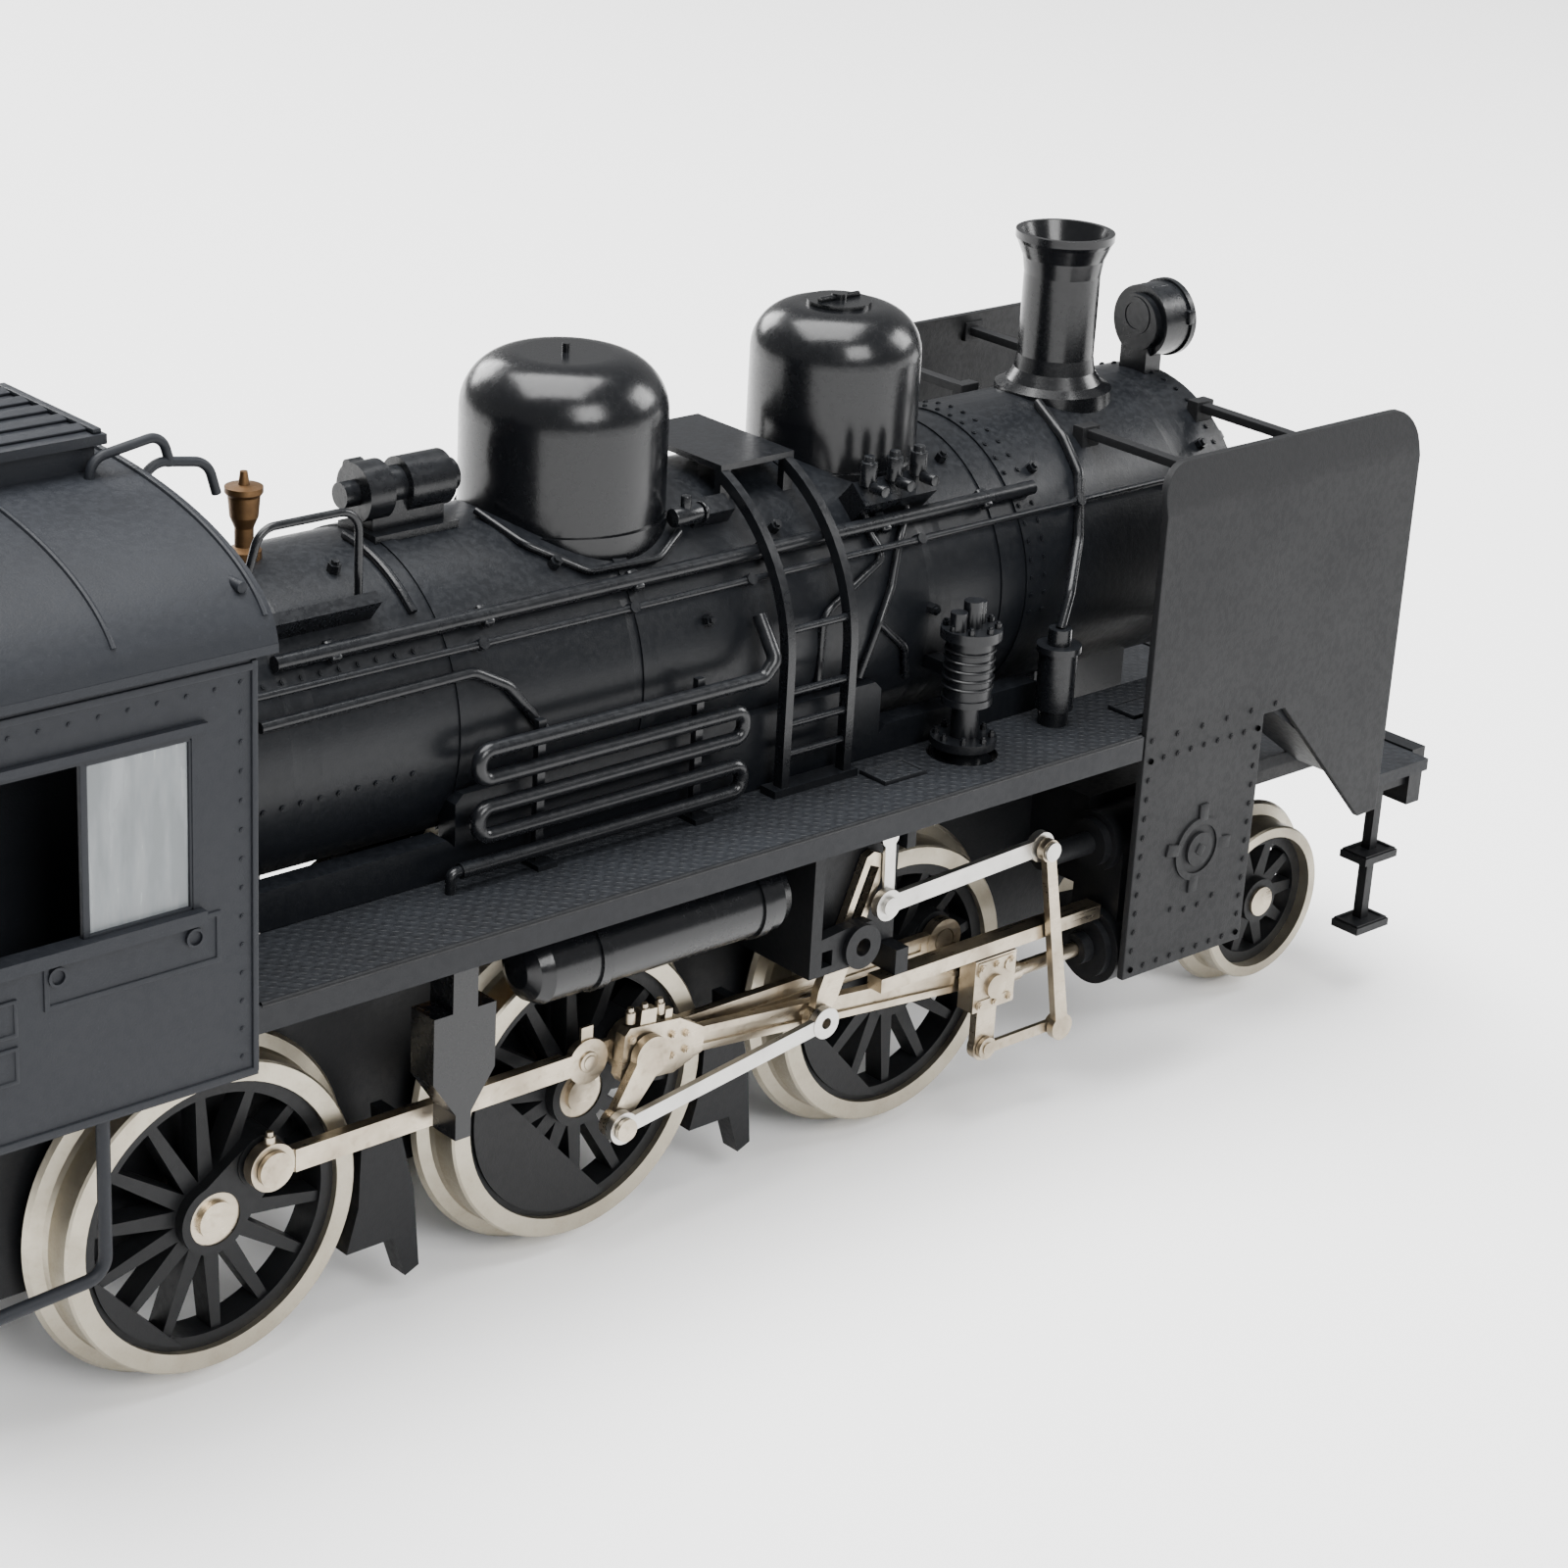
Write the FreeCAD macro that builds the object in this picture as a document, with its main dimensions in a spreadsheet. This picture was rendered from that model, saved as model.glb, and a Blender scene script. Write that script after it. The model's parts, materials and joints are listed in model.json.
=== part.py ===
"""HO-scale 2-6-0 steam locomotive, a motorised model, in millimetres.

Stations (X) are measured forward from the rear driving axle and heights (Z) from the rail top; every node is
then shifted so that the row's origin is the middle of the engine at the bottom of its wheel flanges.
+X is forward, +Y is the driver's left-hand side, +Z is up.
"""
import FreeCAD, Part
import math
import os
import re

import Sketcher

V = FreeCAD.Vector
RIGHT, LEFT = -1, 1

SIZES = {
    # overall
    "front_reach": 95.0, "rear_reach": 27.0, "body_half": 16.0, "fit": 0.05, "air": 0.15,
    # wheels and axles
    "driver_r": 8.75, "flange_depth": 1.0, "flange_wide": 0.8, "tyre_in": 7.2, "tyre_out": 10.0,
    "tyre_thick": 1.15,
    "main_x": 23.9, "front_x": 47.8, "axle_r": 1.5, "hub_r": 2.0, "hub_out": 10.1, "cap_r": 1.05,
    "cap_out": 10.3,
    "spoke_in": 8.0, "spoke_tip": 0.55, "rim_deep": 0.75,
    "truck_x": 81.5, "truck_r": 5.3, "truck_axle_r": 1.0, "truck_tyre_thick": 0.75, "truck_hub_r": 1.5,
    # cranks and rods
    "crank_r": 3.8, "crank_angle": 42.0, "pin_r": 0.7, "pin_boss_r": 1.5,
    "coupling_in": 10.45, "coupling_thick": 0.7, "knuckle_back": 3.3, "rod_high": 1.3, "eye_r": 1.35,
    "main_in": 11.35, "main_thick": 0.8, "main_long": 26.0, "big_end": 3.3,
    "return_in": 12.3, "return_thick": 0.55, "return_r": 0.95, "return_lag": 110.0, "return_pin_r": 0.42,
    "ecc_in": 13.0, "ecc_thick": 0.5, "ecc_long": 15.0,
    # crosshead, cylinders and valve gear
    "cyl_y": 12.85, "cyl_r": 2.5, "cyl_back": 61.5, "cyl_front": 71.5, "chest_r": 1.9, "chest_z": 15.6,
    "crosshead_long": 3.4, "crosshead_high": 3.9, "crosshead_half": 0.65, "piston_rod_r": 0.45,
    "arm_drop": 4.2,
    "bar_back": 43.2, "bar_thick": 0.9, "link_x": 41.0, "link_z": 14.6, "link_foot": 4.95, "link_top": 5.3,
    "link_in": 12.3, "link_thick": 0.55, "lever_top_x": 55.9, "lever_top_z": 16.9, "lever_low_z": 4.55,
    "union_long": 5.8, "radius_long": 12.5, "radius_in": 13.05, "radius_thick": 0.5, "lever_in": 13.75,
    # frame
    "frame_half": 6.6, "frame_top": 16.5, "keeper_thick": 1.15, "frame_back": -20.0, "front_frame_low": 12.0,
    "well_half": 2.3, "tower_half": 3.3,
    # gears and motor
    "gear_module": 0.4, "gear_teeth": 32.0, "idler_teeth": 20.0, "gear_wide": 2.0, "worm_r": 2.0,
    "worm_long": 8.5, "shaft_r": 0.75, "motor_back": -13.0, "motor_front": 5.5, "motor_half": 6.0,
    "can_wall": 0.8,
    # boiler
    "boiler_z": 31.2, "boiler_r": 8.85, "boiler_wall": 0.85, "smokebox_x": 57.5, "smokebox_front": 76.5,
    "skirt_half": 9.05, "rear_dome_x": 29.3, "rear_dome_r": 5.75, "front_dome_x": 49.3, "front_dome_r": 5.0,
    "dome_top": 47.9, "chimney_x": 67.8, "chimney_r": 2.35, "chimney_rim": 3.03, "chimney_top": 49.9,
    # cab, boards and plates
    "cab_front": -1.3, "cab_back": -19.2, "cab_low": 20.0, "cab_eave": 41.9, "cab_wall": 0.6,
    "roof_peak": 47.9, "roof_back": -24.0, "roof_front": -0.5, "roof_thick": 0.7, "gutter_out": 0.6,
    "sill_z": 29.7, "window_top": 38.4, "board_top": 23.6, "board_thick": 0.8, "valance_low": 22.1,
    "deck_top": 15.4, "deck_front": 91.5, "plate_thick": 0.5, "deflector_back": 61.4, "deflector_front": 84.4,
    "deflector_top": 40.2, "cover_front": 72.1, "cover_low": 7.5,
}

doc = FreeCAD.newDocument("steam_engine")
sheet = doc.addObject("Spreadsheet::Sheet", "Sizes")
for row, (alias, size) in enumerate(SIZES.items(), start=1):
    sheet.set(f"A{row}", alias)
    sheet.set(f"B{row}", str(size))
    sheet.setAlias(f"B{row}", alias)
doc.recompute()

# Middle of the engine's length, and depth of the flanges below the rail: the shift to the row's origin.
MIDDLE_X = "(front_reach - rear_reach) / 2"
WHEELBASE_STATIONS = {"rear": "0", "main": "main_x", "front": "front_x"}

nodes = []


def bound(text):
    """Expression with each size's alias pointed at the sheet."""
    return re.sub(r"[a-z][a-z_]*", lambda m: "Sizes." + m.group(0) if m.group(0) in SIZES else m.group(0),
                  str(text))


def num(text):
    """Present value of an expression, in millimetres or degrees."""
    return float(sheet.evalExpression(bound(text)))


def node(label, piece):
    """Register a finished piece under its node name and shift it to the row's origin."""
    piece.Label = label
    piece.setExpression("Placement.Base.x", bound(f"-({MIDDLE_X})"))
    piece.setExpression("Placement.Base.z", bound("flange_depth"))
    nodes.append(piece)
    return piece


def part(kind, name, **properties):
    """Part workbench object whose numeric properties are expressions."""
    piece = doc.addObject(kind, name)
    for key, text in properties.items():
        piece.setExpression(key, bound(text))
    return piece


def at(piece, x="0", y="0", z="0", axis=None, angle=0.0):
    """Place a construction piece at expressions, turned by a fixed angle about an axis."""
    if axis is not None:
        piece.Placement = FreeCAD.Placement(V(0, 0, 0), FreeCAD.Rotation(axis, angle))
    for key, text in (("x", x), ("y", y), ("z", z)):
        piece.setExpression(f"Placement.Base.{key}", bound(text))
    return piece


def box(name, x, y, z):
    """Box between two expressions on each axis."""
    piece = part("Part::Box", name, Length=f"({x[1]}) - ({x[0]})", Width=f"({y[1]}) - ({y[0]})",
                 Height=f"({z[1]}) - ({z[0]})")
    return at(piece, x[0], y[0], z[0])


def rod_x(name, radius, x, y, z):
    """Cylinder along X from x[0] to x[1]."""
    piece = part("Part::Cylinder", name, Radius=radius, Height=f"({x[1]}) - ({x[0]})")
    return at(piece, x[0], y, z, V(0, 1, 0), 90)


def rod_y(name, radius, x, y, z):
    """Cylinder along Y from y[0] to y[1]."""
    piece = part("Part::Cylinder", name, Radius=radius, Height=f"({y[1]}) - ({y[0]})")
    return at(piece, x, y[0], z, V(1, 0, 0), -90)


def rod_z(name, radius, x, y, z):
    """Cylinder along Z from z[0] to z[1]."""
    piece = part("Part::Cylinder", name, Radius=radius, Height=f"({z[1]}) - ({z[0]})")
    return at(piece, x, y, z[0])


def across(side, inner, outer):
    """Y range of a layer between two distances from the centre line, on one side."""
    return (f"{inner}", f"{outer}") if side == LEFT else (f"-({outer})", f"-({inner})")


def fuse(name, *pieces):
    """Union of construction pieces."""
    piece = doc.addObject("Part::MultiFuse", name)
    piece.Shapes = list(pieces)
    piece.Refine = True
    return piece


def cut(name, base, *tools):
    """Base with every tool taken away."""
    piece = doc.addObject("Part::Cut", name)
    piece.Base = base
    piece.Tool = tools[0] if len(tools) == 1 else fuse(name + "_tools", *tools)
    return piece


def group(name, *pieces):
    """Separate solids kept together in one node."""
    piece = doc.addObject("Part::Compound", name)
    piece.Links = list(pieces)
    return piece


def feature(name, shape):
    """Shape made in code from the sheet's sizes."""
    piece = doc.addObject("Part::Feature", name)
    piece.Shape = shape
    return piece


# ---------------------------------------------------------------- sketch-based bodies

def new_body(name):
    """Body of its own, with its origin planes ready for sketches."""
    body = doc.addObject("PartDesign::Body", name)
    body.AllowCompound = True
    return body


def sketch(body, role, offset="0"):
    """Sketch on one of the body's origin planes, moved along the plane's normal."""
    plane = next(f for f in body.Origin.OriginFeatures if f.Role == role)
    drawing = body.newObject("Sketcher::SketchObject", body.Name + "_sketch")
    drawing.AttachmentSupport = [(plane, "")]
    drawing.MapMode = "FlatFace"
    drawing.setExpression("AttachmentOffset.Base.z", bound(offset))
    return drawing


def pin_point(drawing, element, point, x, y):
    """Bind a sketch point to two expressions."""
    for kind, text in (("DistanceX", x), ("DistanceY", y)):
        index = drawing.addConstraint(Sketcher.Constraint(kind, -1, 1, element, point, num(text)))
        drawing.setExpression(f"Constraints[{index}]", bound(text))


def polygon(drawing, *corners):
    """Closed outline through corners given as pairs of expressions."""
    spots = [V(num(x), num(y), 0) for x, y in corners]
    first, count = drawing.GeometryCount, len(spots)
    drawing.addGeometry([Part.LineSegment(spots[i], spots[(i + 1) % count]) for i in range(count)], False)
    drawing.addConstraint([Sketcher.Constraint("Coincident", first + i, 2, first + (i + 1) % count, 1)
                           for i in range(count)])
    for i, (x, y) in enumerate(corners):
        pin_point(drawing, first + i, 1, x, y)
    return drawing


def rectangle(drawing, x, y):
    """Rectangle between two expressions on each sketch axis."""
    return polygon(drawing, (x[0], y[0]), (x[1], y[0]), (x[1], y[1]), (x[0], y[1]))


def circle(drawing, x, y, radius):
    """Circle with its centre and radius bound to the sheet."""
    index = drawing.addGeometry(Part.Circle(V(num(x), num(y), 0), V(0, 0, 1), num(radius)), False)
    size = drawing.addConstraint(Sketcher.Constraint("Radius", index, num(radius)))
    drawing.setExpression(f"Constraints[{size}]", bound(radius))
    pin_point(drawing, index, 3, x, y)
    return drawing


def pad(body, drawing, length, reverse=False, both=False):
    """Extrude a sketch along its normal, backwards, or evenly both ways."""
    step = body.newObject("PartDesign::Pad", body.Name + "_pad")
    step.Profile = drawing
    step.setExpression("Length", bound(length))
    step.Reversed = reverse
    step.SideType = "Symmetric" if both else "One side"
    return step


def pocket(body, drawing, length=None, reverse=False, both=False):
    """Cut a sketch's outline into the body, to a depth or right through."""
    step = body.newObject("PartDesign::Pocket", body.Name + "_pocket")
    step.Profile = drawing
    if length is None:
        step.Type = "ThroughAll"
    else:
        step.setExpression("Length", bound(length))
    step.Reversed = reverse
    step.SideType = "Symmetric" if both else "One side"
    return step


def side_pad(body, side, inner, outer, draw, *shape):
    """Pad a side-view outline between two distances from the centre line, on one side of the engine."""
    drawing = sketch(body, "XZ_Plane", f"{-side} * ({inner})")
    draw(drawing, *shape)
    return pad(body, drawing, f"({outer}) - ({inner})", reverse=side == LEFT)


def side_pocket(body, side, outer, depth, draw, *shape):
    """Cut a side-view outline inwards from the outer face, on one side of the engine."""
    drawing = sketch(body, "XZ_Plane", f"{-side} * ({outer})")
    draw(drawing, *shape)
    return pocket(body, drawing, depth, reverse=side == LEFT)


def revolve(body, drawing, axis):
    """Full turn of a sketch about its own horizontal or vertical axis."""
    step = body.newObject("PartDesign::Revolution", body.Name + "_turned")
    step.Profile = drawing
    step.ReferenceAxis = (drawing, [axis])
    step.Angle = 360.0
    return step


def polar(body, steps, axis_role, count):
    """Repeat features around one of the body's origin axes."""
    axis = next(f for f in body.Origin.OriginFeatures if f.Role == axis_role)
    pattern = body.newObject("PartDesign::PolarPattern", body.Name + "_pattern")
    pattern.Originals = steps
    pattern.Axis = (axis, [""])
    pattern.Angle = 360.0
    pattern.Occurrences = count
    body.Tip = pattern
    return pattern


def turn_about_axle(piece, x, z, degrees):
    """Put a piece drawn about the Y axis at an axle or pin, with its crank raised by an angle."""
    piece.Placement = FreeCAD.Placement(V(0, 0, 0), FreeCAD.Rotation(V(0, -1, 0), degrees))
    piece.setExpression("Placement.Base.x", bound(x))
    piece.setExpression("Placement.Base.z", bound(z))
    return piece


# ---------------------------------------------------------------- wheels and axles

CHORDS = {"rear": "6.1", "main": "3.1", "front": "5.4"}
SPOKES = 14
TRUCK_SPOKES = 10


def spoked_centre(name, side, face, outer_r, hub, spokes, axle, tip, crank=None, chord=None):
    """Cast wheel centre about the Y axis: hub, tapered spokes, rim, crank boss and balance weight."""
    body = new_body(name)
    inner, outer = face
    revolve(body, rectangle(sketch(body, "XY_Plane"), (axle, hub), across(side, inner, outer)), "V_Axis")
    root = f"({axle}) + ({hub} - ({axle})) / 2"
    spoke = side_pad(body, side, f"({inner}) + 0.3", f"({outer}) - 0.7", polygon,
                     (root, f"-({tip}) * 0.85"), (f"({outer_r}) - rim_deep / 2", f"-({tip}) / 2"),
                     (f"({outer_r}) - rim_deep / 2", f"({tip}) / 2"), (root, f"({tip}) * 0.85"))
    polar(body, [spoke], "Y_Axis", spokes)
    revolve(body, rectangle(sketch(body, "XY_Plane"), (f"({outer_r}) - rim_deep", outer_r),
                            across(side, f"({inner}) + 0.1", f"({outer}) - 0.5")), "V_Axis")
    if chord is not None:
        weight = sketch(body, "XZ_Plane", f"{-side} * (({inner}) + 0.3)")
        segment(weight, f"({outer_r}) - rim_deep / 2", chord)
        pad(body, weight, f"({outer}) - ({inner}) - 0.55", reverse=side == LEFT)
    if crank is not None:
        side_pad(body, side, f"({inner}) + 0.3", outer, polygon,
                 ("0", "-hub_r * 0.95"), (crank, "-pin_boss_r * 0.97"), (crank, "pin_boss_r * 0.97"),
                 ("0", "hub_r * 0.95"))
        side_pad(body, side, f"({inner}) + 0.3", f"({outer}) + 0.1", circle, crank, "0", "pin_boss_r")
        side_pocket(body, side, f"({outer}) + 1", f"({outer}) - ({inner}) + 2", circle, crank, "0", "pin_r")
        side_pocket(body, side, f"({outer}) + 1", f"({outer}) - ({inner}) + 2", circle, "0", "0", axle)
    return body


def segment(drawing, radius, chord):
    """Circular segment behind a vertical chord, on the far side of the centre."""
    r, d = num(radius), num(chord)
    half = math.acos(d / r)
    arc = drawing.addGeometry(Part.ArcOfCircle(Part.Circle(V(0, 0, 0), V(0, 0, 1), r), math.pi - half,
                                               math.pi + half), False)
    ends = [V(-d, r * math.sin(half), 0), V(-d, -r * math.sin(half), 0)]
    line = drawing.addGeometry(Part.LineSegment(*ends), False)
    drawing.addConstraint([Sketcher.Constraint("Coincident", arc, 3, -1, 1),
                           Sketcher.Constraint("Coincident", arc, 1, line, 1),
                           Sketcher.Constraint("Coincident", arc, 2, line, 2),
                           Sketcher.Constraint("Vertical", line)])
    for kind, text, where in (("Radius", radius, (arc,)), ("DistanceX", f"-({chord})", (-1, 1, line, 1))):
        index = drawing.addConstraint(Sketcher.Constraint(kind, *where, num(text)))
        drawing.setExpression(f"Constraints[{index}]", bound(text))
    return drawing


def tyre(name, side, tread_r, thick):
    """Steel tyre about the Y axis: coned-looking tread with its flange on the inner side."""
    body = new_body(name)
    out, inn = "tyre_out", "tyre_in"
    y = (lambda text: f"{side} * ({text})")
    revolve(body, polygon(sketch(body, "XY_Plane"), (f"{tread_r} - {thick}", y(inn)),
                          (f"{tread_r} + flange_depth * 0.8", y(inn)),
                          (f"{tread_r} + flange_depth", y(f"{inn} + flange_wide * 0.35")),
                          (f"{tread_r} + flange_depth * 0.8", y(f"{inn} + flange_wide * 0.7")),
                          (f"{tread_r} + flange_depth * 0.12", y(f"{inn} + flange_wide")),
                          (tread_r, y(f"{inn} + flange_wide * 1.4")), (tread_r, y(f"{out} - 0.12")),
                          (f"{tread_r} - 0.12", y(out)), (f"{tread_r} - {thick}", y(out))), "V_Axis")
    return body


def crank_pin(name, side, end, head):
    """Pin pressed into the wheel's boss, with a flat washer head where one is given."""
    shank = rod_y(name, "pin_r", "crank_r", across(side, "spoke_in + 0.3", end), "0")
    if head is None:
        return shank
    washer = rod_y(name + "_head", "pin_r + 0.3", "crank_r", across(side, end, f"({end}) + {head}"), "0")
    return fuse(name + "_headed", shank, washer)


def axle_shaft(name):
    """Turned axle with a smaller end showing in each wheel's hub."""
    body = new_body(name)
    revolve(body, polygon(sketch(body, "XY_Plane"), ("0", "-cap_out"), ("cap_r", "-cap_out"),
                          ("cap_r", "-tyre_out"),
                          ("axle_r", "-tyre_out"), ("axle_r", "tyre_out"), ("cap_r", "tyre_out"),
                          ("cap_r", "cap_out"), ("0", "cap_out")), "V_Axis")
    return body


PIN_ENDS = {"rear": ("coupling_in + coupling_thick + fit", "0.3"),
            "front": ("coupling_in + coupling_thick", None),
            "main": ("return_in + return_thick", None)}
CRANK = {RIGHT: num("crank_angle"), LEFT: num("crank_angle") + 90.0}

for axle_name, station in WHEELBASE_STATIONS.items():
    centres, tyres, steel = [], [], [axle_shaft(f"{axle_name}_shaft")]
    for side in (RIGHT, LEFT):
        tag = f"{axle_name}_{'right' if side == RIGHT else 'left'}"
        centre = spoked_centre(f"{tag}_centre", side, ("spoke_in - 0.3", "hub_out"), "driver_r - tyre_thick",
                               "hub_r",
                               SPOKES, "axle_r", "spoke_tip", "crank_r", CHORDS[axle_name])
        end, head = PIN_ENDS[axle_name]
        pin = crank_pin(f"{tag}_pin", side, end, head)
        turned_pin = group(f"{tag}_pin_turned", pin)
        for piece in (centre, turned_pin):
            turn_about_axle(piece, station, "driver_r", CRANK[side])
        centres.append(centre)
        steel.append(turned_pin)
        ring = tyre(f"{tag}_tyre", side, "driver_r", "tyre_thick")
        tyres.append(at(ring, station, "0", "driver_r"))
    at(steel[0], station, "0", "driver_r")
    node(f"{axle_name}_wheel_centres", group(f"{axle_name}_centres", *centres))
    node(f"{axle_name}_tyres", group(f"{axle_name}_tyre_pair", *tyres))
    node(f"{axle_name}_axle", group(f"{axle_name}_axle_set", *steel))

# Pony truck: one axle in a swinging A-frame.
truck_ring_r = "truck_r - truck_tyre_thick"
truck_centres = [spoked_centre(f"truck_centre_{side + 1}", side, ("spoke_in - 0.3", "hub_out - 0.4"),
                               truck_ring_r,
                               "truck_hub_r", TRUCK_SPOKES, "truck_axle_r", "0.62") for side in (RIGHT, LEFT)]
truck_tyres = [tyre(f"truck_tyre_{side + 1}", side, "truck_r", "truck_tyre_thick") for side in (RIGHT, LEFT)]
for piece in truck_centres + truck_tyres:
    at(piece, "truck_x", "0", "truck_r")
node("truck_wheel_centres", group("truck_centre_pair", *truck_centres))
node("truck_tyres", group("truck_tyre_pair", *truck_tyres))
node("truck_axle", rod_y("truck_shaft", "truck_axle_r", "truck_x", ("-(hub_out - 0.2)", "hub_out - 0.2"),
                         "truck_r"))
nodes[-1].setExpression("Placement.Base.x", bound(f"truck_x - ({MIDDLE_X})"))
nodes[-1].setExpression("Placement.Base.z", bound("truck_r + flange_depth"))

TRUCK_PIVOT_X = "front_x + driver_r + flange_depth + 3.4"
ARM_TOP = "driver_r - axle_r - fit - keeper_thick - air"
truck = new_body("truck_frame_body")
arm_low = f"{ARM_TOP} - 1.1"
pad(truck, polygon(sketch(truck, "XY_Plane", arm_low), (f"{TRUCK_PIVOT_X} - 2", "-1.8"),
                   ("truck_x - 3.4", "-5.6"),
                   ("truck_x + 2.4", "-5.6"), ("truck_x + 2.4", "5.6"), ("truck_x - 3.4", "5.6"),
                   (f"{TRUCK_PIVOT_X} - 2", "1.8")), "1.1")
pocket(truck, polygon(sketch(truck, "XY_Plane", f"{arm_low} - 1"), (f"{TRUCK_PIVOT_X} + 6", "-1.4"),
                      ("truck_x - 3.8", "-3.2"), ("truck_x - 3.8", "3.2"), (f"{TRUCK_PIVOT_X} + 6", "1.4")),
       "5", reverse=True)
for side in (RIGHT, LEFT):
    side_pad(truck, side, "4.6", "5.8", polygon, ("truck_x - 2.6", arm_low), ("truck_x + 2.2", arm_low),
             ("truck_x + 1.8", "truck_r + 1.9"), ("truck_x - 1.8", "truck_r + 1.9"))
    side_pocket(truck, side, "7", "3", circle, "truck_x", "truck_r", "truck_axle_r + fit")
pocket(truck, rectangle(sketch(truck, "XY_Plane", f"{arm_low} - 1"), ("truck_x - truck_axle_r - 0.4",
                        "truck_x + truck_axle_r + 0.4"), ("-4.5", "4.5")), "9", reverse=True)
pocket(truck, circle(sketch(truck, "XY_Plane", f"{arm_low} - 1"), TRUCK_PIVOT_X, "0", "1 + fit"), "4",
       reverse=True)
node("truck_frame", truck)

# ---------------------------------------------------------------- gears and motor

GEAR_R = "gear_teeth * gear_module / 2"
IDLER_R = "idler_teeth * gear_module / 2"
IDLER_Z = f"driver_r + {GEAR_R} + {IDLER_R}"
MOTOR_Z = f"{IDLER_Z} + {IDLER_R} + worm_r"


def spur_gear(name, pitch_r, teeth, bore, first_tooth):
    """Spur gear about the Y axis with slim straight-sided teeth, so the pair runs with backlash."""
    body = new_body(name)
    drawing = sketch(body, "XZ_Plane")
    circle(drawing, "0", "0", f"{pitch_r} - gear_module * 1.25")
    pad(body, drawing, "gear_wide", both=True)
    tooth = sketch(body, "XZ_Plane")
    polygon(tooth, (f"{pitch_r} - gear_module * 1.4", "-gear_module * 0.82"),
            (f"{pitch_r} + gear_module * 0.75", "-gear_module * 0.3"),
            (f"{pitch_r} + gear_module * 0.75", "gear_module * 0.3"),
            (f"{pitch_r} - gear_module * 1.4", "gear_module * 0.82"))
    step = pad(body, tooth, "gear_wide", both=True)
    polar(body, [step], "Y_Axis", int(num(teeth)))
    hole = sketch(body, "XZ_Plane")
    circle(hole, "0", "0", bore)
    pocket(body, hole, both=True)
    body.Placement = FreeCAD.Placement(V(0, 0, 0), FreeCAD.Rotation(V(0, -1, 0), first_tooth))
    return body


axle_gear = spur_gear("axle_gear_wheel", GEAR_R, "gear_teeth", "axle_r", 90.0)
axle_gear.setExpression("Placement.Base.x", bound("main_x"))
axle_gear.setExpression("Placement.Base.z", bound("driver_r"))
node("axle_gear", group("axle_gear_node", axle_gear))

idler = spur_gear("idler_wheel", IDLER_R, "idler_teeth", "shaft_r", -90.0 + 180.0 / num("idler_teeth"))
idler.setExpression("Placement.Base.x", bound("main_x"))
idler.setExpression("Placement.Base.z", bound(IDLER_Z))
idler_pin = rod_y("idler_pin", "shaft_r", "main_x", ("-(tower_half - 0.2)", "tower_half - 0.2"), IDLER_Z)
node("idler_gear", group("idler_set", idler, idler_pin))


def worm_thread():
    """Single-start worm: a slim right-handed thread on a core, centred over the idler gear."""
    pitch = math.pi * num("gear_module")
    core, tip = num("worm_r") - 1.05 * num("gear_module"), num("worm_r") + 0.8 * num("gear_module")
    sunk, long = core - 0.12, num("worm_long")
    turns = int(long / pitch) - 1
    helix = Part.makeHelix(pitch, turns * pitch, sunk)
    root, crest = 0.24 * pitch, 0.08 * pitch
    corners = [V(sunk, 0, -root), V(tip, 0, -crest), V(tip, 0, crest), V(sunk, 0, root)]
    outline = Part.makePolygon(corners + corners[:1])
    thread = Part.Wire(helix).makePipeShell([outline], True, True)
    barrel = Part.makeCylinder(core, long, V(0, 0, -(long - turns * pitch) / 2))
    bore = Part.makeCylinder(num("shaft_r"), long * 2, V(0, 0, -long / 2))
    worm = barrel.fuse(thread).cut(bore)
    # The helix starts on local +X; a whole number of half turns later it crosses the gear's side.
    worm.translate(V(0, 0, -turns * pitch / 2))
    worm.rotate(V(0, 0, 0), V(0, 0, 1), -(turns % 2) * 180.0)
    worm.rotate(V(0, 0, 0), V(0, 1, 0), 90)
    return Part.Compound([worm])


worm = feature("worm", worm_thread())
worm.setExpression("Placement.Base.x", bound("main_x"))
worm.setExpression("Placement.Base.z", bound(MOTOR_Z))
shaft = rod_x("armature_shaft", "shaft_r", ("motor_back - 1.2", "main_x + tower_half + 4.4"), "0", MOTOR_Z)
rotor_x = ("motor_back + 3.4", "motor_front - 2")
rotor = cut("rotor", rod_x("rotor_drum", "motor_half - can_wall - 0.9", rotor_x, "0", MOTOR_Z),
            *[box(f"rotor_slot_{i}", rotor_x, y, z) for i, (y, z) in enumerate((
                (("-0.4", "0.4"), (f"{MOTOR_Z} + 2", f"{MOTOR_Z} + 6")),
                (("-6", "-1.6"), (f"{MOTOR_Z} - 1.6", f"{MOTOR_Z} - 0.8")),
                (("1.6", "6"), (f"{MOTOR_Z} - 1.6", f"{MOTOR_Z} - 0.8"))))])
commutator = rod_x("commutator", "1.6", ("motor_back + 1.4", "motor_back + 3.4"), "0", MOTOR_Z)
node("armature", group("armature_set", worm, fuse("armature_steel", shaft, rotor, commutator)))

can = cut("can", box("can_block", ("motor_back", "motor_front"), ("-motor_half", "motor_half"),
                     (f"{MOTOR_Z} - motor_half", f"{MOTOR_Z} + motor_half")),
          rod_x("can_bore", "motor_half - can_wall", ("motor_back + can_wall", "motor_front - can_wall"),
                "0", MOTOR_Z),
          rod_x("can_bearing", "shaft_r + fit", ("motor_back - 1", "motor_front + 1"), "0", MOTOR_Z))
node("motor_case", can)

# ---------------------------------------------------------------- frame and keeper

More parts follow.
